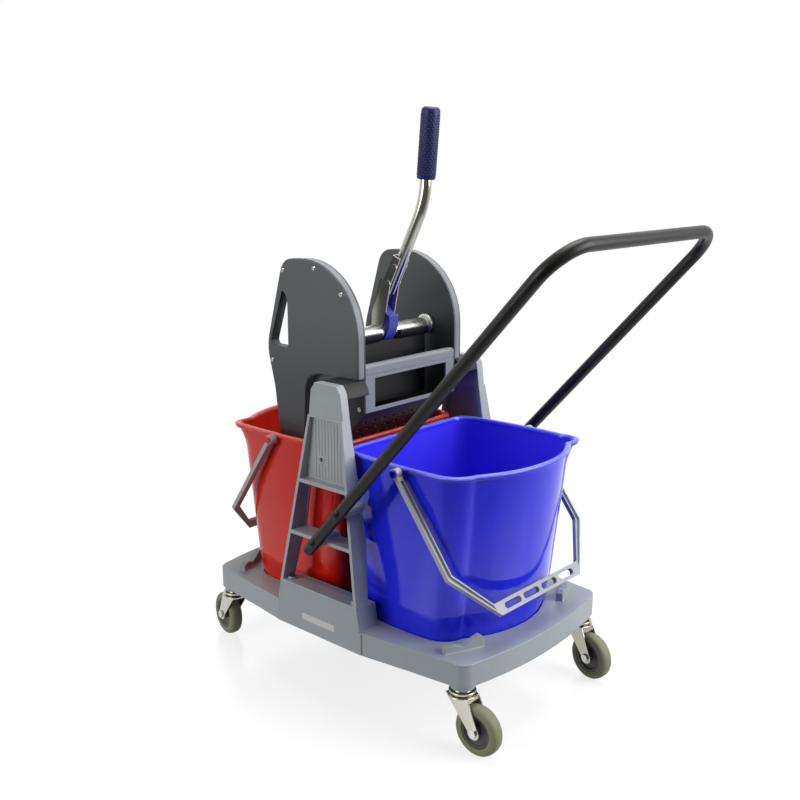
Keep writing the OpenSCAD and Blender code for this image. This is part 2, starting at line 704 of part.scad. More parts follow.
module far_side_panel() color("#3c4043") xz(side_in, frame_in) difference() {
    panel_outline();
    polygon(slot_outline(0));
    translate([shaft_x, shaft_z]) circle(r = bush_r + snug);
    for (p = basket_screws_at) translate(p) circle(r = screw_r + snug);
}
module near_side_cover() mirror([0, 1, 0]) far_side_cover();
module near_side_frame() mirror([0, 1, 0]) far_side_frame();
module near_side_panel() mirror([0, 1, 0]) far_side_panel();
module cover_screws() color("silver") both_sides() for (p = cover_screws_at) union() {
    bar_y(p[0], p[1], screw_r, frame_in + 2, side_out + eps);
    bar_y(p[0], p[1], screw_head, side_out, side_out + screw_head_h);
}
module basket_screws() color("silver") both_sides() for (p = basket_screws_at) union() {
    bar_y(p[0], p[1], screw_r, side_in - basket_screw_l, frame_in + eps);
    bar_y(p[0], p[1], screw_head, frame_in, frame_in + basket_head_h);
}
module basket_screw_holes() both_sides() for (p = basket_screws_at)
    bar_y(p[0], p[1], screw_r + snug, side_in - basket_screw_l - eps, side_in + eps);
module front_rail() color("gray") difference() {
    xz(-side_in, side_in) polygon([[front_x - rail_t, seat_z + rail_low], [front_x, seat_z + rail_low],
        [front_x, seat_z + rail_up - rail_ease], [front_x - rail_ease, seat_z + rail_up],
        [front_x - rail_t, seat_z + rail_up]]);
    basket_screw_holes();
}
module front_grille() color("gray") difference() {
    translate([front_x - grille_t, -side_in, grille_z]) cube([grille_t, 2 * side_in, grille_h]);
    for (z = [grille_z + grille_bar, grille_z + grille_h / 2])
        translate([front_x - 2 * grille_t, -side_in + grille_side, z])
            cube([3 * grille_t, 2 * (side_in - grille_side), grille_h / 2 - grille_bar]);
}
// Three rows of holes through an upright basket wall, the lowest row at z
module wall_holes(z) for (i = [0:8], j = [0:2])
    translate([-sieve_t - eps, (i - 4) * hole_pitch, z + j * hole_pitch]) rotate([0, 90, 0])
        cylinder(r = sieve_hole, h = sieve_t + 2 * eps);
// Block that trims a basket wall across its whole width
module wall_trim(x, z, l, h) translate([x, -side_in - eps, z]) cube([l, 2 * side_in + 2 * eps, h]);
module front_sieve() color("#3c4043") difference() {
    translate([front_foot[0], 0, front_foot[1]]) rotate([0, front_tilt, 0]) difference() {
        translate([-sieve_t, -side_in, 0]) cube([sieve_t, 2 * side_in, front_l]);
        wall_holes(front_hole_z);
    }
    wall_trim(front_x - trim_l / 2, grille_z, trim_l, trim_l / 2);
    wall_trim(front_foot_x - trim_l / 2, basket_z + sieve_t - trim_l / 2, trim_l, trim_l / 2);
    basket_screw_holes();
}
module rear_sieve() color("#3c4043") difference() {
    translate([rear_foot[0], 0, rear_foot[1]]) rotate([0, rear_tilt, 0]) difference() {
        union() {
            translate([-sieve_t, -side_in, -sieve_t]) cube([sieve_t, 2 * side_in, rear_l + sieve_t]);
            bar_y(-sieve_t / 2, rear_l, sieve_t, -side_in, side_in);
        }
        wall_holes(rear_hole_z);
    }
    wall_trim(rear_foot[0] - trim_l / 2, basket_z + sieve_t - trim_l / 2, trim_l, trim_l / 2);
    basket_screw_holes();
}
module floor_sieve() color("#3c4043") difference() {
    translate([floor_back + gap, -side_in, basket_z])
        cube([front_foot_x - floor_back - gap, 2 * side_in, sieve_t]);
    for (i = [0:8], j = [0:3])
        translate([floor_hole_x + j * hole_pitch, (i - 4) * hole_pitch, basket_z - eps])
            cylinder(r = sieve_hole, h = sieve_t + 2 * eps);
    basket_screw_holes();
}
module shaft_bushes() color("whitesmoke") both_sides() difference() {
    union() {
        bar_y(shaft_x, shaft_z, bush_flange, side_in - bush_flange_t, side_in);
        bar_y(shaft_x, shaft_z, bush_r, side_in - bush_flange_t, side_in + bush_in);
    }
    bar_y(shaft_x, shaft_z, stub_r + run, side_in - 2 * bush_flange_t, side_in + bush_in + eps);
}
function spiral(r) = [for (i = [0:24 * spring_turns])
    let (a = i * 15) (r + spring_step * i / 24) * [cos(a), sin(a)]];
module return_springs() color("dimgray") both_sides() translate([shaft_x, 0, shaft_z])
    xz(frame_out - spring_w - gap, frame_out - gap)
        polygon(concat(spiral(spring_r0), backwards(spiral(spring_r0 + spring_t))));

/* Press and lever, which turn together about the shaft */
module press_shaft() color("silver") union() {
    bar_y(shaft_x, shaft_z, shaft_r, -side_in + press_gap - flange_t / 2, side_in - press_gap + flange_t / 2);
    bar_y(shaft_x, shaft_z, stub_r, -frame_out + gap, frame_out - gap);
}
module shaft_flanges() color("gainsboro") both_sides() difference() {
    bar_y(shaft_x, shaft_z, flange_r, flange_y - flange_t, flange_y);
    bar_y(shaft_x, shaft_z, shaft_r + snug, flange_y - 2 * flange_t, side_in - press_gap + flange_t / 2);
    bar_y(shaft_x, shaft_z, stub_r + snug, side_in - press_gap, side_in);
}
module press_plate() color("#202224") difference() {
    union() {
        translate([shaft_x - press_t / 2, -side_in + press_gap, shaft_z - press_l])
            cube([press_t, 2 * (side_in - press_gap), press_l - shaft_r]);
        both_sides() intersection() {
            bar_y(shaft_x, shaft_z, shaft_r + cradle_t, press_saddle_in, side_in - press_gap - flange_t);
            translate([shaft_x - 2 * shaft_r, 0, shaft_z - 2 * shaft_r])
                cube([4 * shaft_r, side_in, 2 * shaft_r]);
        }
        for (i = [0:press_ribs - 1])
            translate([shaft_x - press_t / 2 - press_rib + eps,
                (2 * i / (press_ribs - 1) - 1) * press_rib_y - press_rib / 2,
                shaft_z - press_l + press_rib_low])
                cube([press_rib, press_rib, press_l - shaft_r - cradle_t - press_rib_low]);
    }
    bar_y(shaft_x, shaft_z, shaft_r + snug, -side_in, side_in);
    translate([shaft_x - 4 * shaft_r, -press_saddle_in + gap, shaft_z - clamp_out - 3 * gap])
        cube([8 * shaft_r, 2 * (press_saddle_in - gap), clamp_out]);
}
module at_lever() translate([shaft_x, 0, shaft_z]) rotate([0, lever_lean, 0]) children();
module lever_bolt_holes() for (s = lever_bolt_s)
    bar_y(-lever_back, s, lever_bolt_r + snug, -2 * lever_in, 2 * lever_in);
module lever_fork() color("silver") at_lever() difference() {
    union() {
        both_sides() xz(lever_in, lever_in + fork_plate) intersection() {
            union() {
                polygon([[-fork_behind, 24], [-fork_ring, -10], [clamp_t, -10], [clamp_t, 24],
                    [-fork_before, 92], [-fork_before, fork_l], [-fork_behind, fork_l]]);
                circle(r = fork_ring);
            }
            translate([-2 * fork_behind, -fork_l]) square([2 * fork_behind + clamp_t, 3 * fork_l]);
        }
        xz(-lever_in - eps, lever_in + eps) polygon([[-fork_behind, 30], [-fork_behind + fork_plate, 30],
            [-fork_behind + fork_plate, fork_l], [-fork_behind, fork_l]]);
    }
    bar_y(0, 0, shaft_r + snug, -lever_in - 2 * fork_plate, lever_in + 2 * fork_plate);
    lever_bolt_holes();
}
module lever_insert() color("royalblue") at_lever() difference() {
    union() {
        xz(-cap_half, cap_half) intersection() {
            union() {
                circle(r = clamp_out);
                polygon([[clamp_t, 0], [clamp_out, 0], [clamp_out - 1, cap_l / 2],
                    [clamp_t + 7, cap_l], [clamp_t, cap_l]]);
            }
            translate([clamp_t + snug, -fork_l]) square([fork_l, 3 * fork_l]);
        }
        xz(-lever_in + snug, lever_in - snug) polygon([[insert_back, 30], [-12, 12], [clamp_t + eps, 12],
            [clamp_t + eps, cap_l - 4], [-lever_back, cap_l + 8], [-lever_back, insert_l - snug],
            [insert_back, insert_l - snug]]);
    }
    bar_y(0, 0, shaft_r + snug, -2 * lever_in, 2 * lever_in);
}
module at_bend() translate([-lever_back - lever_bend_r, 0, lever_l1]) children();
module lever_end() at_bend() rotate([0, -lever_bend, 0]) translate([lever_bend_r, 0, 0]) children();
module lever_tube() color("gainsboro") at_lever() difference() {
    union() {
        translate([-lever_back, 0, insert_l]) cylinder(r = lever_r, h = lever_l1 - insert_l);
        at_bend() rotate([90, 0, 0]) rotate_extrude(angle = lever_bend)
            translate([lever_bend_r, 0]) circle(r = lever_r);
        lever_end() translate([0, 0, -eps]) cylinder(r = lever_r - grip_neck, h = eps + grip_l - grip_cap);
    }
    lever_bolt_holes();
}
module lever_bolts() color("silver") at_lever() for (s = lever_bolt_s) union() {
    bar_y(-lever_back, s, lever_bolt_r, -lever_in - fork_plate - eps, lever_in + fork_plate + eps);
    both_sides() hex_y(-lever_back, s, lever_bolt_r + 2.5,
        lever_in + fork_plate, lever_in + fork_plate + bolt_low);
}
module lever_grip() color("midnightblue") at_lever() lever_end() difference() {
    rotate_extrude() polygon(concat([[0, 0], [grip_r - 3, 0], [grip_r, 4]],
        arc([grip_r - grip_round, grip_l - grip_round], grip_round, 0, 90, 5), [[0, grip_l]]));
    translate([0, 0, -eps]) cylinder(r = lever_r - grip_neck + snug, h = grip_l - grip_cap + eps);
}

base_tray();
near_tower();
far_tower();
tower_bolts();
wringer_rests();
push_handle();
handle_plugs();
handle_bolts();
handle_nuts();
caster_stems();
caster_races();
blue_bucket();
blue_bail();
red_bucket();
red_bail();
near_side_cover();
near_side_frame();
near_side_panel();
far_side_cover();
far_side_frame();
far_side_panel();
cover_screws();
basket_screws();
front_rail();
front_grille();
front_sieve();
rear_sieve();
floor_sieve();
shaft_bushes();
return_springs();
press_shaft();
shaft_flanges();
press_plate();
lever_fork();
lever_insert();
lever_tube();
lever_bolts();
lever_grip();
for (i = [0:3]) {
    caster_fork(i);
    caster_axle(i);
    caster_hub(i);
    caster_tyre(i);
}
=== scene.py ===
import json
import math
import bmesh
import bpy
from mathutils import Matrix, Vector


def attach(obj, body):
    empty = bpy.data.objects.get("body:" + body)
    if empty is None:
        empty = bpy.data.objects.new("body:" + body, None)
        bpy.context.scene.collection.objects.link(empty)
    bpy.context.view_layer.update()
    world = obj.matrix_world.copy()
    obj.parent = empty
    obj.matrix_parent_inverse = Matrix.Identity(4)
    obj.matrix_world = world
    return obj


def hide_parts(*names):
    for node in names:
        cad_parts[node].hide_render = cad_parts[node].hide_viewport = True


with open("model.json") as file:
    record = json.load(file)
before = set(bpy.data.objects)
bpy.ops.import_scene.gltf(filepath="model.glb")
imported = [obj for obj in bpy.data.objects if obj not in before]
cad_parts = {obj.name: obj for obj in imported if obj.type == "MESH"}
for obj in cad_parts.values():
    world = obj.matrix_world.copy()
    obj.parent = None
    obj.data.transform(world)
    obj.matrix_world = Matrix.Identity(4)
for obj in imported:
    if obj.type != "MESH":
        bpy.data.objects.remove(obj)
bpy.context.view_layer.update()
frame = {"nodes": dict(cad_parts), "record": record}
nodes = frame["nodes"]
record = frame["record"]
bodyOf = {n: b for b, group in record["behaviour"]["bodies"].items() for n in group}
slotOf = {s["node"]: s["material_slot"] for s in record["subparts"]}
mm = 0.001
print("frame loaded with", len(nodes), "nodes")


# node helpers: they take sockets or plain numbers and give back the new node's output
def feed(tree, socket, value):
    if isinstance(value, bpy.types.NodeSocket):
        tree.links.new(value, socket)
    else:
        socket.default_value = value


def maths(tree, operation, first, second):
    node = tree.nodes.new("ShaderNodeMath")
    node.operation = operation
    feed(tree, node.inputs[0], first)
    feed(tree, node.inputs[1], second)
    return node.outputs["Value"]


def ranged(tree, value, given=(0, 1), wanted=(0, 1), smooth=False):
    node = tree.nodes.new("ShaderNodeMapRange")
    node.interpolation_type = "SMOOTHSTEP" if smooth else "LINEAR"
    feed(tree, node.inputs["Value"], value)
    for label, number in zip(("From Min", "From Max", "To Min", "To Max"), (*given, *wanted)):
        node.inputs[label].default_value = number
    return node.outputs["Result"]


def noise(tree, place, size, detail, rough=0.5):
    node = tree.nodes.new("ShaderNodeTexNoise")
    feed(tree, node.inputs["Vector"], place)
    feed(tree, node.inputs["Scale"], size)
    node.inputs["Detail"].default_value = detail
    node.inputs["Roughness"].default_value = rough
    return node.outputs["Fac"]


def placeOf(tree, coords="Object"):
    return tree.nodes.new("ShaderNodeTexCoord").outputs[coords]


def upPart(tree, vector):
    split = tree.nodes.new("ShaderNodeSeparateXYZ")
    tree.links.new(vector, split.inputs["Vector"])
    return split.outputs["Z"]


# node groups shared by the finishes
skinSet = {"grainDetail": 3, "cloudDetail": 4, "cloudRough": 0.6, "cloudRange": (0.32, 0.68),
           "streakDetail": 6, "streakRough": 0.7, "streakRange": (0.45, 0.75),
           "streakShape": (1, 1, 0.05)}   # drawn out upwards
dustSet = {"detail": 5, "facingUp": (0.5, 1)}


def newGroup(name, inputs, outputs):
    group = bpy.data.node_groups.new(name, "ShaderNodeTree")
    for label, value in inputs.items():
        socket = group.interface.new_socket(label, in_out="INPUT", socket_type="NodeSocketFloat")
        socket.default_value = value
    for label in outputs:
        group.interface.new_socket(label, in_out="OUTPUT", socket_type="NodeSocketFloat")
    return group, group.nodes.new("NodeGroupInput"), group.nodes.new("NodeGroupOutput")


def makeMouldSkin():
    s = skinSet
    group, given, out = newGroup("mouldSkin", {"Grain Size": 900, "Cloud Size": 9, "Streak Size": 40},
                                 ["Grain", "Cloud", "Streak"])
    size = given.outputs
    place = placeOf(group)
    drawn = group.nodes.new("ShaderNodeMapping")
    drawn.inputs["Scale"].default_value = s["streakShape"]
    group.links.new(place, drawn.inputs["Vector"])
    grain = noise(group, place, size["Grain Size"], s["grainDetail"])
    cloud = noise(group, place, size["Cloud Size"], s["cloudDetail"], s["cloudRough"])
    streak = noise(group, drawn.outputs["Vector"], size["Streak Size"], s["streakDetail"], s["streakRough"])
    group.links.new(grain, out.inputs["Grain"])
    group.links.new(ranged(group, cloud, s["cloudRange"]), out.inputs["Cloud"])
    group.links.new(ranged(group, streak, s["streakRange"]), out.inputs["Streak"])
    return group


def makeDustSettle():
    group, given, out = newGroup("dustSettle", {"Amount": 0.3, "Patch Size": 22}, ["Dust"])
    facing = group.nodes.new("ShaderNodeNewGeometry")
    upward = ranged(group, upPart(group, facing.outputs["Normal"]), dustSet["facingUp"])
    patch = noise(group, placeOf(group), given.outputs["Patch Size"], dustSet["detail"])
    dust = maths(group, "MULTIPLY", maths(group, "MULTIPLY", upward, patch), given.outputs["Amount"])
    group.links.new(dust, out.inputs["Dust"])
    return group


mouldSkin = makeMouldSkin()
dustSettle = makeDustSettle()


def blank(name):
    material = bpy.data.materials.new(name)
    material.use_nodes = True
    tree = material.node_tree
    return material, tree, tree.nodes["Principled BSDF"]


def mixColour(tree, factor, first, second):
    mix = tree.nodes.new("ShaderNodeMix")
    mix.data_type = "RGBA"
    tree.links.new(factor, mix.inputs["Factor"])
    for label, colour in (("A", first), ("B", second)):
        feed(tree, mix.inputs[label], (*colour, 1) if isinstance(colour, tuple) else colour)
    return mix.outputs["Result"]


def tint(colour, by):
    return tuple(min(1, c * by) for c in colour)


# share of a painted light or shade colour: 0 at one height, the given share at the other
def paintedLightByHeight(tree, start, end, share):
    return ranged(tree, upPart(tree, placeOf(tree)), (start * mm, end * mm), (0, share), True)


# what a finish has where its own look names nothing else
plainLook = {"grain": 900, "cloud": 9, "streakSize": 60, "vary": 0.05, "streak": 0.10, "streakTint": 1.35,
             "dust": 0.1, "dustColour": (0.55, 0.54, 0.52), "paintedLightBands": (), "bump": 0.15, "bumpDepth": 0.2,
             "metal": 0, "spec": 0.5, "soft": 0, "softDepth": 6}


# one moulded or coated finish: colour clouds, drawn streaks, settled dust, painted light on marked inner
# walls, painted light and shade in bands by height, fine grain
def surface(name, ownLook):
    look = {**plainLook, **ownLook}
    material, tree, bsdf = blank(name)
    skin = tree.nodes.new("ShaderNodeGroup")
    skin.node_tree = mouldSkin
    for label, key in (("Grain Size", "grain"), ("Cloud Size", "cloud"), ("Streak Size", "streakSize")):
        skin.inputs[label].default_value = look[key]
    dust = tree.nodes.new("ShaderNodeGroup")
    dust.node_tree = dustSettle
    dust.inputs["Amount"].default_value = look["dust"]
    plain, vary = look["colour"], look["vary"]
    streakColour = look.get("streakColour", tint(plain, look["streakTint"]))
    streakShare = ranged(tree, skin.outputs["Streak"], wanted=(0, look["streak"]))
    colour = mixColour(tree, skin.outputs["Cloud"], tint(plain, 1 - vary), tint(plain, 1 + vary))
    colour = mixColour(tree, streakShare, colour, streakColour)
    colour = mixColour(tree, dust.outputs["Dust"], colour, look["dustColour"])
    # painted light: marked inner walls take a lighter colour of the same plastic
    if "inside" in look:
        inner = tree.nodes.new("ShaderNodeAttribute")
        inner.attribute_name = "inside"
        colour = mixColour(tree, inner.outputs["Fac"], colour, look["inside"])
    # painted light and shade: each band blends in a lighter or darker colour by height
    for start, end, paintedTone, share in look["paintedLightBands"]:
        colour = mixColour(tree, paintedLightByHeight(tree, start, end, share), colour, paintedTone)
    bump = tree.nodes.new("ShaderNodeBump")
    bump.inputs["Strength"].default_value = look["bump"]
    bump.inputs["Distance"].default_value = look["bumpDepth"] * mm
    tree.links.new(skin.outputs["Grain"], bump.inputs["Height"])
    given = {"Base Color": colour, "Roughness": ranged(tree, skin.outputs["Cloud"], wanted=look["rough"]),
             "Normal": bump.outputs["Normal"], "Metallic": look["metal"], "Specular IOR Level": look["spec"],
             "Subsurface Weight": look["soft"], "Subsurface Radius": [look["softDepth"] * mm] * 3}
    for label, value in given.items():
        feed(tree, bsdf.inputs[label], value)
    return material


finishes = {
    "base_plastic": {"colour": (0.297, 0.332, 0.358), "rough": (0.30, 0.42), "grain": 1400, "dust": 0.08},
    "tower_plastic": {"colour": (0.35, 0.38, 0.40), "rough": (0.28, 0.40), "grain": 1400, "dust": 0.06},
    "black_paint": {"colour": (0.006, 0.006, 0.005), "rough": (0.30, 0.42), "grain": 2200, "bump": 0.25,
                    "streak": 0.04, "streakColour": (0.05, 0.05, 0.05), "spec": 0.26},
    "black_plastic": {"colour": (0.010, 0.0105, 0.0115), "rough": (0.36, 0.52), "dust": 0.03, "spec": 0.3},
    "blue_plastic": {"colour": (0.012, 0.018, 0.75), "rough": (0.10, 0.17), "grain": 500, "bump": 0.03,
                     "vary": 0.06, "streak": 0.05, "streakColour": (0.03, 0.035, 0.74), "dust": 0.01,
                     # painted light: inside is the lighter colour painted on the bucket's inner wall
                     "soft": 0.5, "softDepth": 10, "spec": 0.42, "inside": (0.055, 0.044, 0.84),
                     # painted highlight: a paler band along the rolled lip, standing in for the lamps'
                     # reflection on it
                     "paintedLightBands": ((471, 476.5, (0.24, 0.27, 0.90), 0.7),)},
    "red_plastic": {"colour": (0.62, 0.014, 0.006), "rough": (0.12, 0.20), "grain": 500, "bump": 0.03,
                    "vary": 0.06, "streak": 0.05, "streakColour": (0.70, 0.04, 0.02), "dust": 0.01,
                    # painted light: inside is the lighter colour painted on the bucket's inner wall
                    "soft": 0.4, "softDepth": 8, "spec": 0.38, "inside": (0.84, 0.03, 0.015),
                    # painted highlight: a paler band along the rolled lip, standing in for the lamps'
                    # reflection on it
                    "paintedLightBands": ((471, 476.5, (0.85, 0.20, 0.15), 0.6),)},
    "bail_plastic": {"colour": (0.36, 0.385, 0.40), "rough": (0.24, 0.34), "grain": 1500, "dust": 0.04},
    "dark_plastic": {"colour": (0.076, 0.085, 0.089), "rough": (0.38, 0.50), "grain": 1200, "bump": 0.3,
                     "streak": 0.06, "streakColour": (0.115, 0.125, 0.13), "dust": 0.05,
                     # painted shade: this plastic darkens towards the bottom, from 740 mm down to 540 mm
                     "paintedLightBands": ((740, 540, (0.030, 0.033, 0.037), 0.95),)},
    # painted light: a lighter copy of the dark plastic, standing in for the light on edges that face the
    # lamps
    "edge_plastic": {"colour": (0.225, 0.235, 0.26), "rough": (0.32, 0.44), "grain": 1300, "dust": 0.05},
    "nylon": {"colour": (0.66, 0.65, 0.61), "rough": (0.35, 0.48), "soft": 0.1},
    "insert_plastic": {"colour": (0.045, 0.05, 0.40), "rough": (0.22, 0.32),
                       "streakColour": (0.09, 0.10, 0.50)},
    "chrome": {"colour": (0.47, 0.46, 0.40), "metal": 1, "rough": (0.10, 0.18), "bump": 0.02, "vary": 0.04,
               "cloud": 25, "streak": 0.12, "streakColour": (0.40, 0.39, 0.34), "dust": 0.02},
    "satinChrome": {"colour": (0.78, 0.78, 0.76), "metal": 1, "rough": (0.24, 0.32), "bump": 0.03,
                    "vary": 0.03, "cloud": 25, "streak": 0.06, "streakColour": (0.62, 0.62, 0.61),
                    "dust": 0.02},
    "zinc_steel": {"colour": (0.56, 0.56, 0.56), "metal": 1, "rough": (0.24, 0.40), "cloud": 60,
                   "vary": 0.10},
    "spring_steel": {"colour": (0.24, 0.24, 0.26), "metal": 1, "rough": (0.30, 0.42), "cloud": 60},
    "hub_plastic": {"colour": (0.036, 0.036, 0.030), "rough": (0.42, 0.55), "dust": 0.08},
    "tyre_rubber": {"colour": (0.20, 0.205, 0.125), "rough": (0.52, 0.68), "grain": 1100, "bump": 0.35,
                    "vary": 0.12, "streak": 0.15, "streakColour": (0.29, 0.29, 0.22), "spec": 0.35},
    "grip_rubber": {"colour": (0.010, 0.011, 0.085), "rough": (0.40, 0.54), "grain": 1600, "bump": 0.3,
                    "streakColour": (0.02, 0.024, 0.13), "spec": 0.35},
    "labelPlate": {"colour": (0.56, 0.57, 0.58), "rough": (0.30, 0.40), "vary": 0.03},
}
finish = {slot: surface(slot, look) for slot, look in finishes.items()}
print("finishes made:", len(finish))


# mesh helpers
def addPiece(name, mesh, slotName, body, stands=(), material=None):
    mesh.materials.clear()
    mesh.materials.append(material or finish[slotName])
    piece = bpy.data.objects.new(name, mesh)
    bpy.context.scene.collection.objects.link(piece)
    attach(piece, body)
    if stands:
        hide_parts(*stands)
    return piece


def evaluated(piece):
    bpy.context.view_layer.update()
    graph = bpy.context.evaluated_depsgraph_get()
    mesh = bpy.data.meshes.new_from_object(piece.evaluated_get(graph))
    bpy.data.objects.remove(piece)
    return mesh


def meshFrom(bm, name):
    mesh = bpy.data.meshes.new(name)
    bm.to_mesh(mesh)
    bm.free()
    return mesh


def smoothed(mesh, angle=35):
    mesh.shade_smooth()
    mesh.set_sharp_from_angle(angle=math.radians(angle))
    return mesh


mergeWithin = 0.003   # mm, joins the solid's loose triangles
flatWithin = 0.3   # degrees, faces that count as one
cornerFrom = 30   # degrees, edges that get rounded


def rounded(mesh, edge, steps=2):
    piece = bpy.data.objects.new("working", mesh)
    bpy.context.scene.collection.objects.link(piece)
    mesh.shade_smooth()
    bevel = piece.modifiers.new("edge", "BEVEL")
    bevel.width = edge * mm
    bevel.segments = steps
    bevel.limit_method = "ANGLE"
    bevel.angle_limit = math.radians(cornerFrom)
    bevel.use_clamp_overlap = False
    weigh = piece.modifiers.new("normals", "WEIGHTED_NORMAL")
    weigh.keep_sharp = True
    return evaluated(piece)


# a CAD node's shape with its corners rounded as a mould leaves them
def softened(node, edge, steps, joined):
    source = nodes[node].data
    mesh = bpy.data.meshes.new(node)
    mesh.from_pydata([v.co for v in source.vertices], [], [list(p.vertices) for p in source.polygons])
    bm = bmesh.new()
    bm.from_mesh(mesh)
    bmesh.ops.remove_doubles(bm, verts=bm.verts, dist=mergeWithin * mm)
    if joined:
        bmesh.ops.dissolve_limit(bm, angle_limit=math.radians(flatWithin), verts=bm.verts, edges=bm.edges)
    bm.to_mesh(mesh)
    bm.free()
    return rounded(mesh, edge, steps)


def dress(node, edge, steps, look=None, joined=True):
    mesh = softened(node, edge, steps, joined)
    own = finish[look] if look else None
    return addPiece(node + ".soft", mesh, slotOf[node], bodyOf[node], [node], own)


def ringStrip(bm, rings, closed=False):
    made = [[bm.verts.new(p) for p in ring] for ring in rings]
    count = len(made[0])
    pairs = list(zip(made, made[1:])) + ([(made[-1], made[0])] if closed else [])
    for low, high in pairs:
        for i in range(count):
            j = (i + 1) % count
            bm.faces.new((low[i], low[j], high[j], high[i]))
    if not closed:
        bm.faces.new(made[0][::-1])
        bm.faces.new(made[-1])
    return made


def axisFrame(axis):
    axis = Vector(axis).normalized()
    side = axis.orthogonal().normalized()
    return axis, side, axis.cross(side)


# a profile of (radius, height) points turned round an axis, which it keeps just clear of
axisGap = 0.01


def turned(profile, centre, axis, sides, closed=False):
    axis, side, other = axisFrame(axis)
    bm = bmesh.new()
    rings = []
    for r, h in profile:
        ring = []
        for i in range(sides):
            a = 2 * math.pi * i / sides
            outward = side * math.cos(a) + other * math.sin(a)
            ring.append(Vector(centre) * mm + (axis * h + outward * r) * mm)
        rings.append(ring)
    ringStrip(bm, rings, closed)
    bmesh.ops.recalc_face_normals(bm, faces=bm.faces)
    return meshFrom(bm, "turned")


# a round tube along a path that lies in one plane
def swept(path, flat, radius, sides):
    flat = Vector(flat).normalized()
    bm = bmesh.new()
    rings = []
    for i, p in enumerate(path):
        ahead = path[min(i + 1, len(path) - 1)] - path[max(i - 1, 0)]
        side = flat.cross(ahead.normalized())
        ring = []
        for k in range(sides):
            a = 2 * math.pi * k / sides
            ring.append((p + (side * math.cos(a) + flat * math.sin(a)) * radius) * mm)
        rings.append(ring)
    ringStrip(bm, rings)
    bmesh.ops.recalc_face_normals(bm, faces=bm.faces)
    return meshFrom(bm, "swept")


# camera and stage
cameraSet = {"place": (1.2870, -1.4295, 0.9912), "turn": (76.7, 0, 42.1), "lens": 45.72, "sensor": 36,
             "reach": 200}
stageSet = {"floor": 6, "floorColour": (0.25, 0.25, 0.255), "floorRough": 0.22, "lift": 0.77,
            "fade": (0.55, 1.35), "ambient": 0.16, "ceiling": (0.15, 0.75), "backdrop": (-0.67, 0.742, 0),
            "wall": (-0.75, 0.35), "room": 0.14}
lampSet = {
    "key": {"at": (2.3, 1.0, 1.35), "aim": (0, 0, 0.4), "size": 1.8, "power": 68},
    "fill": {"at": (-0.7, -2.8, 1.2), "aim": (0, 0, 0.4), "size": 1.7, "power": 46},
    "top": {"at": (0.2, 0.5, 3.3), "aim": (0, 0, 0), "size": 1.9, "power": 70},
}


def setStage():
    scene = bpy.context.scene
    scene.view_settings.view_transform = "Standard"
    camera = bpy.data.cameras.new("photoCamera")
    camera.lens = cameraSet["lens"]
    camera.sensor_width = cameraSet["sensor"]
    camera.sensor_fit = "HORIZONTAL"
    camera.clip_end = cameraSet["reach"]
    eye = bpy.data.objects.new("photoCamera", camera)
    eye.location = cameraSet["place"]
    eye.rotation_euler = [math.radians(a) for a in cameraSet["turn"]]
    scene.collection.objects.link(eye)
    scene.camera = eye
    for name, lamp in lampSet.items():
        light = bpy.data.lights.new(name, "AREA")
        light.shape = "SQUARE"
        light.size = lamp["size"]
        light.energy = lamp["power"]
        holder = bpy.data.objects.new(name, light)
        holder.location = lamp["at"]
        aim = Vector(lamp["aim"]) - Vector(lamp["at"])
        holder.rotation_euler = aim.to_track_quat("-Z", "Y").to_euler()
        scene.collection.objects.link(holder)
    setWorld(scene)
    setFloor(scene)


# 1 for camera rays and for rays of the kinds named
def seenShare(tree, path, kinds):
    seen = path.outputs["Is Camera Ray"]
    for kind in kinds:
        seen = maths(tree, "MAXIMUM", seen, path.outputs[kind])
    return seen


# white where it is seen; as light, a pale ceiling and backdrop with a dark room behind the camera
def setWorld(scene):
    world = bpy.data.worlds.new("studio")
    world.use_nodes = True
    scene.world = world
    tree = world.node_tree
    tree.nodes.clear()
    join = tree.links.new
    path = tree.nodes.new("ShaderNodeLightPath")
    toward = placeOf(tree, "Generated")
    ahead = tree.nodes.new("ShaderNodeVectorMath")
    ahead.operation = "DOT_PRODUCT"
    ahead.inputs[1].default_value = stageSet["backdrop"]
    join(toward, ahead.inputs[0])
    ceiling = ranged(tree, upPart(tree, toward), stageSet["ceiling"])
    wall = ranged(tree, ahead.outputs["Value"], stageSet["wall"], (stageSet["room"], 1), True)
    room = tree.nodes.new("ShaderNodeBackground")
    join(maths(tree, "MAXIMUM", ceiling, wall), room.inputs["Color"])
    strength = ranged(tree, path.outputs["Is Glossy Ray"], wanted=(stageSet["ambient"], 1))
    join(strength, room.inputs["Strength"])
    white = tree.nodes.new("ShaderNodeBackground")
    white.inputs["Color"].default_value = (1, 1, 1, 1)
    mix = tree.nodes.new("ShaderNodeMixShader")
    join(seenShare(tree, path, ["Is Transmission Ray"]), mix.inputs["Fac"])
    join(room.outputs["Background"], mix.inputs[1])
    join(white.outputs["Background"], mix.inputs[2])
    out = tree.nodes.new("ShaderNodeOutputWorld")
    join(mix.outputs["Shader"], out.inputs["Surface"])


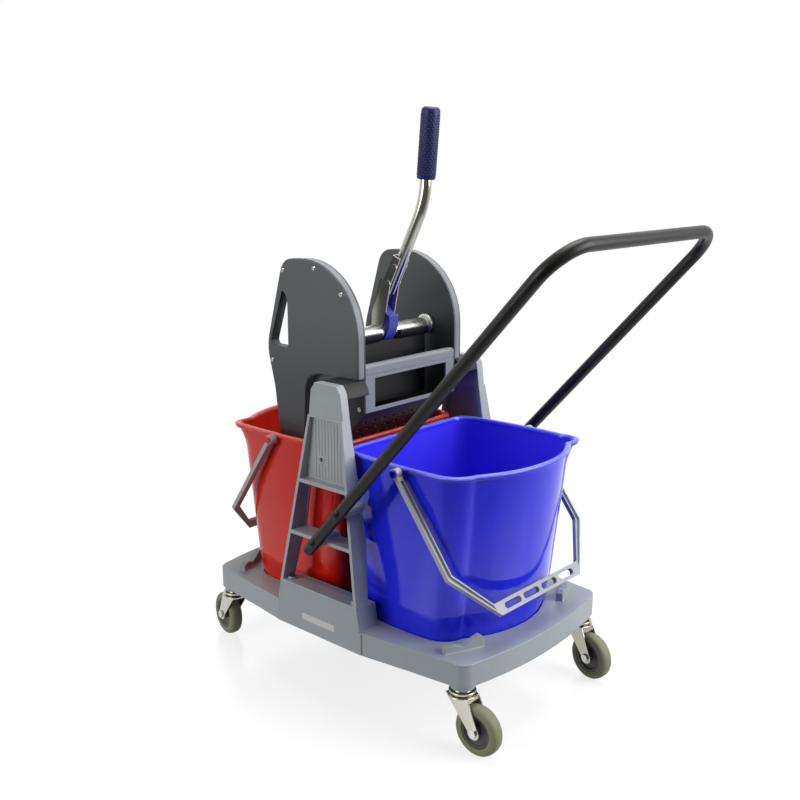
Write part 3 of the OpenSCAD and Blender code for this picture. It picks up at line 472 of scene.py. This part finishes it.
# a pale floor that thins out into the white background
def setFloor(scene):
    material, tree, bsdf = blank("paleFloor")
    join = tree.links.new
    bsdf.inputs["Base Color"].default_value = (*stageSet["floorColour"], 1)
    bsdf.inputs["Roughness"].default_value = stageSet["floorRough"]
    bsdf.inputs["Emission Color"].default_value = (1, 1, 1, 1)
    path = tree.nodes.new("ShaderNodeLightPath")
    seen = seenShare(tree, path, ["Is Glossy Ray", "Is Transmission Ray"])
    join(maths(tree, "MULTIPLY", seen, stageSet["lift"]), bsdf.inputs["Emission Strength"])
    reach = tree.nodes.new("ShaderNodeVectorMath")
    reach.operation = "LENGTH"
    join(placeOf(tree), reach.inputs[0])
    clear = tree.nodes.new("ShaderNodeBsdfTransparent")
    mix = tree.nodes.new("ShaderNodeMixShader")
    join(ranged(tree, reach.outputs["Value"], stageSet["fade"], smooth=True), mix.inputs["Fac"])
    join(bsdf.outputs["BSDF"], mix.inputs[1])
    join(clear.outputs["BSDF"], mix.inputs[2])
    join(mix.outputs["Shader"], tree.nodes["Material Output"].inputs["Surface"])
    bm = bmesh.new()
    bmesh.ops.create_grid(bm, x_segments=2, y_segments=2, size=stageSet["floor"])
    mesh = meshFrom(bm, "floor")
    mesh.materials.append(material)
    floor = bpy.data.objects.new("floor", mesh)
    scene.collection.objects.link(floor)


setStage()
print("stage set")


# buckets: shells lofted from foot to lip and back down the inside
bucketSet = {
    "foot": (26, 155, 171, 250, 160, 298), "mouth": (14, 166, 182, 287, 174, 335), "low": 150, "height": 328,
    "innerRound": 28, "outerRound": 36, "bulge": 7, "cornerOut": 6, "endBow": 0.55, "roundSteps": 12,
    "sideSteps": 16, "spout": 16, "wall": 3.5, "lip": 5, "stud": (163, 467), "bossRadius": 9.5,
    "studRadius": 5.5, "headRadius": 7.5, "studSides": 40, "bossIn": 179, "bailIn": 189, "bailOut": 203,
    "play": 0.3,
}


def bend(a, b, c, count):
    points = []
    for i in range(count):
        t = i / count
        points.append(a * (1 - t) ** 2 + b * 2 * t * (1 - t) + c * t * t)
    return points


def bucketHalf(z, grow, spout):
    s = bucketSet
    share = (z - s["low"]) / s["height"]
    sizes = [f + (m - f) * share for f, m in zip(s["foot"], s["mouth"])]
    x0, x2, x3 = sizes[0] - grow, sizes[3] + grow, sizes[5] + grow
    w0, w1, w2 = sizes[1] + grow, sizes[2] + grow, sizes[4] + grow
    a = Vector((x0, w0 - s["innerRound"]))
    b = Vector((x0 + s["innerRound"], w0 + s["bulge"]))
    d = Vector((x2 - s["outerRound"], w2 + s["bulge"]))
    e = Vector((x2 + s["cornerOut"], w2 - s["outerRound"]))
    c = Vector(((b.x + d.x) / 2, 2 * w1 - (b.y + d.y) / 2))
    tip = Vector((x3, 0))
    inner = bend(a, Vector((x0, w0)), b, s["roundSteps"])
    side = bend(b, c, d, s["sideSteps"])
    corner = bend(d, Vector((x2 + spout, w2 + spout)), e, s["sideSteps"])
    end = bend(e, Vector((x3, e.y * s["endBow"])), tip, s["sideSteps"])
    return inner + side + corner + end + [tip]


def bucketRing(z, grow, spout, turn):
    far = bucketHalf(z, grow, spout)
    near = bucketHalf(z, grow, 0)
    flat = far + [Vector((p.x, -p.y)) for p in near[-2::-1]]
    return [Vector((p.x * turn, p.y * turn, z)) * mm for p in flat]


# each ring is its height, its growth past the plain outline and its share of the spout
def makeBucket(name, turn):
    low, top = bucketSet["low"], bucketSet["low"] + bucketSet["height"]
    wall, lip, spout = bucketSet["wall"], bucketSet["lip"], bucketSet["spout"]
    outside = [(low, -6, 0), (low + 0.7, -3.6, 0), (low + 2.4, -1.3, 0), (low + 6, 0, 0),
               (low + 35, 1.3, 0), (low + 62, 2.8, 0), (low + 65, 3, 0), (low + 68, 2.6, 0),
               (low + 120, 2.0, 0), (low + 200, 1.0, 0), (top - 48, 0, 0), (top - 36, 0, 0.12),
               (top - 24, 0, 0.4), (top - 13, 0, 0.72), (top - 9.2, 0.2, 0.8)]
    rolled = [(top - 9.4, lip - 1.2, 0.8), (top - 8.8, lip - 0.3, 0.8), (top - 7.8, lip, 0.82),
              (top - 4, lip, 0.94), (top - 2.1, lip - 0.5, 0.98), (top - 0.7, lip - 1.6, 1),
              (top, lip - 3.4, 1), (top, 2.2 - wall, 1), (top - 0.8, 0.6 - wall, 1), (top - 2.6, -wall, 1)]
    inside = [(top - 13, -wall, 0.72), (top - 24, -wall, 0.4), (top - 36, -wall, 0.12),
              (top - 48, -wall, 0), (low + 120, 1 - wall, 0), (low + 65, 3 - wall, 0),
              (low + 16, -wall, 0), (low + 10, -wall - 0.8, 0), (low + 6, -wall - 3.2, 0),
              (low + 4, -wall - 7, 0)]
    bm = bmesh.new()
    # marks the inner wall for the painted lighter colour
    inner = bm.verts.layers.float.new("inside")
    rings = ringStrip(bm, [bucketRing(z, g, spout * s, turn) for z, g, s in outside + rolled + inside])
    for ring in rings[len(outside + rolled):]:
        for v in ring:
            v[inner] = 1
    bmesh.ops.recalc_face_normals(bm, faces=bm.faces)
    shell = smoothed(meshFrom(bm, name), 42)
    return addPiece(name + ".shell", shell, slotOf[name], name, [name])


def makeStuds(name, turn):
    s = bucketSet
    x, z = s["stud"]
    boss, stud, head = s["bossRadius"], s["studRadius"], s["headRadius"]
    start, inner, outer = s["bossIn"], s["bailIn"] - s["play"], s["bailOut"] + s["play"]
    profile = [(axisGap, start), (boss, start), (boss, inner - 1), (boss - 1, inner), (stud, inner),
               (stud, outer), (head, outer), (head, outer + 1), (head - 1.2, outer + 2),
               (axisGap, outer + 2)]
    bm = bmesh.new()
    for side in (-1, 1):
        bm.from_mesh(turned(profile, (x * turn, 0, z), (0, side, 0), s["studSides"]))
    return addPiece(name + ".studs", smoothed(meshFrom(bm, name), 35), slotOf[name], name)


for bucketName, bucketTurn in (("blue_bucket", 1), ("red_bucket", -1)):
    makeBucket(bucketName, bucketTurn)
    makeStuds(bucketName, bucketTurn)
print("buckets made")


# push handle: one bent tube
handleSet = {"start": (4, 313), "slope": 47.8, "foot": 26, "length": 758, "bend": 65, "half": 239.5,
             "radius": 10.98, "armSteps": 6, "bendSteps": 24, "sides": 48}


def makeHandle():
    h = handleSet
    slope = math.radians(h["slope"])
    along = Vector((math.cos(slope), 0, math.sin(slope)))
    across = Vector((0, 1, 0))
    root = Vector((h["start"][0], 0, h["start"][1])) - along * h["foot"]
    straight = h["length"] + h["foot"] - h["bend"]
    arm = [(straight * i / h["armSteps"], h["half"]) for i in range(h["armSteps"])]
    corner = []
    for i in range(h["bendSteps"] + 1):
        a = math.pi / 2 * i / h["bendSteps"]
        corner.append((straight + h["bend"] * math.sin(a), h["half"] - h["bend"] * (1 - math.cos(a))))
    half = arm + corner
    flat = half + [(u, -v) for u, v in half[::-1]]
    path = [root + along * u + across * v for u, v in flat]
    tube = smoothed(swept(path, along.cross(across), h["radius"], h["sides"]), 40)
    return addPiece("push_handle.tube", tube, "black_paint", "chassis", ["push_handle"])


makeHandle()
print("push handle made")


# lever: bent tube and dimpled grip
leverSet = {"shaft": (-45, 668), "lean": 26.8, "back": 22, "stops": (76, 116, 170), "to": 234,
            "bendRadius": 165, "bend": 21.8, "bendSteps": 20, "tubeEnd": 60, "radius": 11, "sides": 40}


def leverPoint(x, z):
    lean = math.radians(leverSet["lean"])
    shaftX, shaftZ = leverSet["shaft"]
    forward = x * math.cos(lean) + z * math.sin(lean)
    upward = z * math.cos(lean) - x * math.sin(lean)
    return Vector((shaftX + forward, 0, shaftZ + upward))


def leverEnd(run):
    v = leverSet
    a = math.radians(v["bend"])
    x = -v["back"] - v["bendRadius"] + v["bendRadius"] * math.cos(a) - run * math.sin(a)
    z = v["to"] + v["bendRadius"] * math.sin(a) + run * math.cos(a)
    return leverPoint(x, z)


def makeLeverTube():
    v = leverSet
    path = [leverPoint(-v["back"], z) for z in v["stops"]]
    centre = -v["back"] - v["bendRadius"]
    for i in range(v["bendSteps"] + 1):
        a = math.radians(v["bend"]) * i / v["bendSteps"]
        x = centre + v["bendRadius"] * math.cos(a)
        z = v["to"] + v["bendRadius"] * math.sin(a)
        path.append(leverPoint(x, z))
    path.append(leverEnd(v["tubeEnd"]))
    tube = smoothed(swept(path, (0, 1, 0), v["radius"], v["sides"]), 40)
    return addPiece("lever_tube.bent", tube, "chrome", "lever", ["lever_tube"])


# a geometry node tree with the named inputs; endTree makes its instances real and paints them
def repeatTree(name, inputs):
    tree = bpy.data.node_groups.new(name, "GeometryNodeTree")
    sockets = {}
    for label, kind in (("Geometry", "NodeSocketGeometry"), *inputs, ("Finish", "NodeSocketMaterial")):
        sockets[label] = tree.interface.new_socket(label, in_out="INPUT", socket_type=kind).identifier
    tree.interface.new_socket("Geometry", in_out="OUTPUT", socket_type="NodeSocketGeometry")
    return tree, sockets, tree.nodes.new("NodeGroupInput")


def endTree(tree, given, instances):
    real = tree.nodes.new("GeometryNodeRealizeInstances")
    tree.links.new(instances, real.inputs["Geometry"])
    paint = tree.nodes.new("GeometryNodeSetMaterial")
    tree.links.new(real.outputs["Geometry"], paint.inputs["Geometry"])
    tree.links.new(given.outputs["Finish"], paint.inputs["Material"])
    out = tree.nodes.new("NodeGroupOutput")
    tree.links.new(paint.outputs["Geometry"], out.inputs["Geometry"])


# grip bumps: rows of low domes round a cylinder, each row turned half a step
def bumpTree():
    tree, sockets, given = repeatTree("gripBumps", (
        ("Rows", "NodeSocketInt"), ("Around", "NodeSocketInt"), ("Radius", "NodeSocketFloat"),
        ("Pitch", "NodeSocketFloat"), ("Dome", "NodeSocketFloat")))
    add = tree.nodes.new
    join = tree.links.new
    line = add("GeometryNodeMeshLine")
    join(given.outputs["Rows"], line.inputs["Count"])
    step = add("ShaderNodeCombineXYZ")
    join(given.outputs["Pitch"], step.inputs["Z"])
    join(step.outputs["Vector"], line.inputs["Offset"])
    circle = add("GeometryNodeMeshCircle")
    join(given.outputs["Around"], circle.inputs["Vertices"])
    join(given.outputs["Radius"], circle.inputs["Radius"])
    index = add("GeometryNodeInputIndex")
    halfTurns = maths(tree, "MULTIPLY", index.outputs["Index"], math.pi)
    spin = add("ShaderNodeCombineXYZ")
    join(maths(tree, "DIVIDE", halfTurns, given.outputs["Around"]), spin.inputs["Z"])
    rows = add("GeometryNodeInstanceOnPoints")
    join(line.outputs["Mesh"], rows.inputs["Points"])
    join(circle.outputs["Mesh"], rows.inputs["Instance"])
    join(spin.outputs["Vector"], rows.inputs["Rotation"])
    spots = add("GeometryNodeRealizeInstances")
    join(rows.outputs["Instances"], spots.inputs["Geometry"])
    dome = add("GeometryNodeMeshUVSphere")
    dome.inputs["Segments"].default_value = 8
    dome.inputs["Rings"].default_value = 5
    join(given.outputs["Dome"], dome.inputs["Radius"])
    place = add("GeometryNodeInputPosition")
    outward = add("ShaderNodeVectorMath")
    outward.operation = "MULTIPLY"
    outward.inputs[1].default_value = (1, 1, 0)
    join(place.outputs["Position"], outward.inputs[0])
    face = add("FunctionNodeAlignRotationToVector")
    face.axis = "Z"
    join(outward.outputs["Vector"], face.inputs["Vector"])
    domes = add("GeometryNodeInstanceOnPoints")
    domes.inputs["Scale"].default_value = (1, 1, 0.45)
    join(spots.outputs["Geometry"], domes.inputs["Points"])
    join(dome.outputs["Mesh"], domes.inputs["Instance"])
    join(face.outputs["Rotation"], domes.inputs["Rotation"])
    endTree(tree, given, domes.outputs["Instances"])
    return tree, sockets


def grown(tree, sockets, values, name, seeds=None):
    piece = bpy.data.objects.new(name, seeds or bpy.data.meshes.new(name))
    bpy.context.scene.collection.objects.link(piece)
    modifier = piece.modifiers.new(name, "NODES")
    modifier.node_group = tree
    for label, value in values.items():
        modifier[sockets[label]] = value
    return evaluated(piece)


gripSet = {"from": 10, "end": 137, "radius": 17.2, "bore": 11.2, "endRound": 8, "roundSteps": 6, "sides": 56,
           "rows": 23, "around": 16, "pitch": 4.7, "dome": 2.2, "sunk": 0.3, "firstRow": 9}


def makeGrip():
    g = gripSet
    start, end = leverEnd(g["from"]), leverEnd(g["end"])
    axis = (end - start).normalized()
    r, top, length = g["radius"], g["endRound"], g["end"] - g["from"]
    profile = [(g["bore"], 0), (r - 3.2, 0), (r - 1.2, 0.8), (r, 3), (r, length - top)]
    for i in range(1, g["roundSteps"] + 1):
        a = math.pi / 2 * i / g["roundSteps"]
        profile.append((r - top + top * math.cos(a), length - top + top * math.sin(a)))
    profile.append((axisGap, length))
    sleeve = smoothed(turned(profile, start, axis, g["sides"]), 40)
    addPiece("lever_grip.sleeve", sleeve, "grip_rubber", "lever", ["lever_grip"])
    tree, sockets = bumpTree()
    values = {"Rows": g["rows"], "Around": g["around"], "Radius": (r - g["sunk"]) * mm,
              "Pitch": g["pitch"] * mm, "Dome": g["dome"] * mm, "Finish": finish["grip_rubber"]}
    bumps = grown(tree, sockets, values, "gripBumps")
    turn = axis.to_track_quat("Z", "Y").to_matrix().to_4x4()
    bumps.transform(Matrix.Translation((start + axis * g["firstRow"]) * mm) @ turn)
    addPiece("lever_grip.bumps", smoothed(bumps, 60), "grip_rubber", "lever")


makeLeverTube()
makeGrip()
print("lever made")


# points that carry one number each, for a node tree to read
def seedPoints(name, points, label, values):
    mesh = bpy.data.meshes.new(name)
    mesh.from_pydata([Vector(p) * mm for p in points], [], [])
    numbers = mesh.attributes.new(label, "FLOAT", "POINT")
    for item, value in zip(numbers.data, values):
        item.value = value
    return mesh


# tower web: upright flutes that stop short of the accessory hole, and a ring round it
webSet = {"face": 200, "low": 421, "high": 531, "pitch": 8, "count": 9, "radius": 1.5, "sink": 0.5,
          "hole": (-18, 456), "holeRadius": 4.2, "ring": 9, "ringHeight": 1.2}


def fluteTree():
    tree, sockets, given = repeatTree("webFlutes", (("Radius", "NodeSocketFloat"),))
    bar = tree.nodes.new("GeometryNodeMeshCylinder")
    bar.inputs["Vertices"].default_value = 16
    bar.inputs["Depth"].default_value = 1
    tree.links.new(given.outputs["Radius"], bar.inputs["Radius"])
    run = tree.nodes.new("GeometryNodeInputNamedAttribute")
    run.data_type = "FLOAT"
    run.inputs["Name"].default_value = "run"
    size = tree.nodes.new("ShaderNodeCombineXYZ")
    size.inputs["X"].default_value = 1
    size.inputs["Y"].default_value = 1
    tree.links.new(run.outputs["Attribute"], size.inputs["Z"])
    bars = tree.nodes.new("GeometryNodeInstanceOnPoints")
    tree.links.new(given.outputs["Geometry"], bars.inputs["Points"])
    tree.links.new(bar.outputs["Mesh"], bars.inputs["Instance"])
    tree.links.new(size.outputs["Vector"], bars.inputs["Scale"])
    endTree(tree, given, bars.outputs["Instances"])
    return tree, sockets


def makeFlutes(node, side, tree, sockets):
    w = webSet
    y = side * (w["face"] - w["sink"])
    holeX, holeZ = w["hole"]
    whole = [(w["low"], w["high"])]
    parted = [(w["low"], holeZ - w["ring"]), (holeZ + w["ring"], w["high"])]
    points, runs = [], []
    for i in range(w["count"]):
        x = (i - (w["count"] - 1) / 2) * w["pitch"]
        near = abs(x - holeX) < w["ring"] + w["radius"]
        for low, high in parted if near else whole:
            points.append((x, y, (low + high) / 2))
            runs.append((high - low) * mm)
    seeds = seedPoints(node + "Seeds", points, "run", runs)
    values = {"Radius": w["radius"] * mm, "Finish": finish["tower_plastic"]}
    flutes = grown(tree, sockets, values, "flutes", seeds)
    addPiece(node + ".flutes", smoothed(flutes, 40), slotOf[node], bodyOf[node])
    inner, outer, top = w["holeRadius"], w["ring"], w["ringHeight"]
    profile = [(inner, -1), (inner, top - 0.3), (inner + 0.3, top), (outer - 0.8, top),
               (outer - 0.2, top - 0.4), (outer, -1)]
    ring = turned(profile, (holeX, side * w["face"], holeZ), (0, side, 0), 48, True)
    addPiece(node + ".ring", smoothed(ring, 35), slotOf[node], bodyOf[node])


fluteNodes, fluteSockets = fluteTree()
makeFlutes("near_tower", -1, fluteNodes, fluteSockets)
makeFlutes("far_tower", 1, fluteNodes, fluteSockets)
print("tower webs fluted")


# cover screws: one cross-recessed head and stem, repeated on both sides
screwSet = {"at": ((-170, 788), (-84, 797), (-14, 755), (-207, 611)), "face": 148, "head": 4.5, "top": 3.5,
            "height": 2.2, "stem": 2, "stemLength": 14.5, "overlap": 0.5, "slot": (5.6, 1.1, 2.4)}


def screwTree():
    s = screwSet
    tree, sockets, given = repeatTree("crossScrews", ())
    add = tree.nodes.new
    join = tree.links.new
    head = add("GeometryNodeMeshCone")
    head.inputs["Vertices"].default_value = 32
    head.inputs["Radius Bottom"].default_value = s["head"] * mm
    head.inputs["Radius Top"].default_value = s["top"] * mm
    head.inputs["Depth"].default_value = s["height"] * mm
    cut = add("GeometryNodeMeshBoolean")
    cut.operation = "DIFFERENCE"
    join(head.outputs["Mesh"], cut.inputs["Mesh 1"])
    length, width, depth = s["slot"]
    for size in ((length, width, depth), (width, length, depth)):
        bar = add("GeometryNodeMeshCube")
        bar.inputs["Size"].default_value = [v * mm for v in size]
        lift = add("GeometryNodeTransform")
        lift.inputs["Translation"].default_value = (0, 0, s["height"] * mm)
        join(bar.outputs["Mesh"], lift.inputs["Geometry"])
        join(lift.outputs["Geometry"], cut.inputs["Mesh 2"])
    stem = add("GeometryNodeMeshCylinder")
    stem.inputs["Vertices"].default_value = 20
    stem.inputs["Radius"].default_value = s["stem"] * mm
    stem.inputs["Depth"].default_value = s["stemLength"] * mm
    sink = add("GeometryNodeTransform")
    sink.inputs["Translation"].default_value = (0, 0, (s["overlap"] - s["stemLength"] / 2) * mm)
    join(stem.outputs["Mesh"], sink.inputs["Geometry"])
    screw = add("GeometryNodeJoinGeometry")
    join(cut.outputs["Mesh"], screw.inputs["Geometry"])
    join(sink.outputs["Geometry"], screw.inputs["Geometry"])
    side = add("GeometryNodeInputNamedAttribute")
    side.data_type = "FLOAT"
    side.inputs["Name"].default_value = "side"
    turn = add("ShaderNodeCombineXYZ")
    join(maths(tree, "MULTIPLY", side.outputs["Attribute"], -math.pi / 2), turn.inputs["X"])
    screws = add("GeometryNodeInstanceOnPoints")
    join(given.outputs["Geometry"], screws.inputs["Points"])
    join(screw.outputs["Geometry"], screws.inputs["Instance"])
    join(turn.outputs["Vector"], screws.inputs["Rotation"])
    endTree(tree, given, screws.outputs["Instances"])
    return tree, sockets


def makeCoverScrews():
    name, spots = "cover_screws", screwSet["at"]
    sides = [side for side in (-1, 1) for spot in spots]
    points = [(x, side * screwSet["face"], z) for side in (-1, 1) for x, z in spots]
    seeds = seedPoints("screwSeeds", points, "side", sides)
    tree, sockets = screwTree()
    screws = grown(tree, sockets, {"Finish": finish["zinc_steel"]}, "crossScrews", seeds)
    addPiece(name + ".heads", smoothed(screws, 35), slotOf[name], bodyOf[name], [name])


makeCoverScrews()
print("cover screws made")


# blank label plate on the base's near side
labelSet = {"from": (-41, 146), "to": (45, 159), "face": -235, "thick": 0.5, "sunk": 0.3, "round": 2,
            "roundSteps": 4, "edge": 0.15}


def makeLabel():
    v = labelSet
    (x0, z0), (x1, z1) = v["from"], v["to"]
    r = v["round"]
    edge = []
    corners = ((x1 - r, z1 - r, 0), (x0 + r, z1 - r, 90), (x0 + r, z0 + r, 180), (x1 - r, z0 + r, 270))
    for x, z, start in corners:
        for i in range(v["roundSteps"] + 1):
            a = math.radians(start + 90 * i / v["roundSteps"])
            edge.append((x + r * math.cos(a), z + r * math.sin(a)))
    levels = (v["face"] + v["sunk"], v["face"] - v["thick"])
    bm = bmesh.new()
    ringStrip(bm, [[Vector((x, y, z)) * mm for x, z in edge] for y in levels])
    bmesh.ops.recalc_face_normals(bm, faces=bm.faces)
    plate = rounded(meshFrom(bm, "label"), v["edge"])
    addPiece("base_tray.label", plate, "base_plastic", "chassis", material=finish["labelPlate"])


makeLabel()
print("label plate made")


# casters: turned tyres and hubs
wheelSet = {"radius": 45, "width": 26, "hub": 30, "trail": 37, "height": 45, "forkGap": 14.5, "bossGap": 0.4,
            "axle": 5, "tyreSides": 72, "hubSides": 56}
cornerSet = {"near_front": (306, -184, 0), "far_front": (306, 184, -12),
             "near_rear": (-306, -184, 167), "far_rear": (-306, 184, 190)}   # place and turn of each swivel


# both profiles run out along one side and back along the other
def makeWheel(corner):
    x, y, turn = cornerSet[corner]
    a = math.radians(turn)
    w = wheelSet
    centre = (x + w["trail"] * math.cos(a), y + w["trail"] * math.sin(a), w["height"])
    axis = (-math.sin(a), math.cos(a), 0)
    r, half, hub, boss = w["radius"], w["width"] / 2, w["hub"], w["forkGap"] - w["bossGap"]
    side = [(hub + 0.1, half - 1), (hub + 2.5, half - 0.6), (r - 10, half - 0.2), (r - 7.5, half),
            (r - 5, half - 0.9), (r - 2.6, half - 2.6), (r - 1.0, half - 5), (r - 0.25, half - 8),
            (r, half - 11)]
    face = [(w["axle"] + 0.1, boss), (9.2, boss), (10, boss - 0.8), (10.6, half - 6.5), (12, half - 7.2),
            (22, half - 6.6), (24, half - 5.5), (25.5, half - 2.4), (27, half - 1.8),
            (hub - 0.8, half - 1.8), (hub, half - 2.6)]
    tyre, disc = ([*points, *((p, -h) for p, h in points[::-1])] for points in (side, face))
    tyreMesh = smoothed(turned(tyre, centre, axis, w["tyreSides"], True), 50)
    discMesh = smoothed(turned(disc, centre, axis, w["hubSides"], True), 40)
    addPiece(corner + "_tyre.ring", tyreMesh, "tyre_rubber", corner + "_wheel", [corner + "_tyre"])
    addPiece(corner + "_hub.disc", discMesh, "hub_plastic", corner + "_wheel", [corner + "_hub"])


for cornerName in cornerSet:
    makeWheel(cornerName)
    dress(cornerName + "_fork", 0.7, 2)
    dress(cornerName + "_axle", 0.5, 2)
print("casters made")


# moulded and pressed parts: the solid's shape with rounded edges, by edge width and steps
edgeSet = {
    "base_tray": (1.4, 3), "near_tower": (0.9, 2), "far_tower": (0.9, 2), "wringer_rests": (1.2, 3),
    "handle_plugs": (1.0, 2), "handle_bolts": (0.4, 2), "handle_nuts": (0.4, 2), "tower_bolts": (0.4, 2),
    "caster_stems": (0.4, 2), "caster_races": (0.9, 3), "blue_bail": (0.9, 3), "red_bail": (0.9, 3),
    "near_side_cover": (0.5, 2), "far_side_cover": (0.5, 2), "near_side_frame": (0.6, 2),
    "far_side_frame": (0.6, 2), "near_side_panel": (0.6, 2), "far_side_panel": (0.6, 2),
    "basket_screws": (0.2, 1), "front_rail": (1.4, 3), "front_grille": (1.0, 2), "front_sieve": (0.5, 2),
    "rear_sieve": (0.5, 2), "floor_sieve": (0.5, 2), "shaft_bushes": (0.4, 2), "return_springs": (0.1, 1),
    "press_shaft": (0.6, 2), "shaft_flanges": (1.4, 3), "press_plate": (0.4, 2), "lever_fork": (0.6, 2),
    "lever_insert": (0.9, 2), "lever_bolts": (0.4, 2),
}
lookSet = {"press_shaft": "satinChrome", "shaft_flanges": "satinChrome", "lever_bolts": "chrome"}
ownFaces = ("base_tray", "press_plate")   # large cut-out faces keep the solid's own triangles
for nodeName, (edgeWidth, edgeSteps) in edgeSet.items():
    dress(nodeName, edgeWidth, edgeSteps, look=lookSet.get(nodeName), joined=nodeName not in ownFaces)
print("moulded parts rounded:", len(edgeSet))
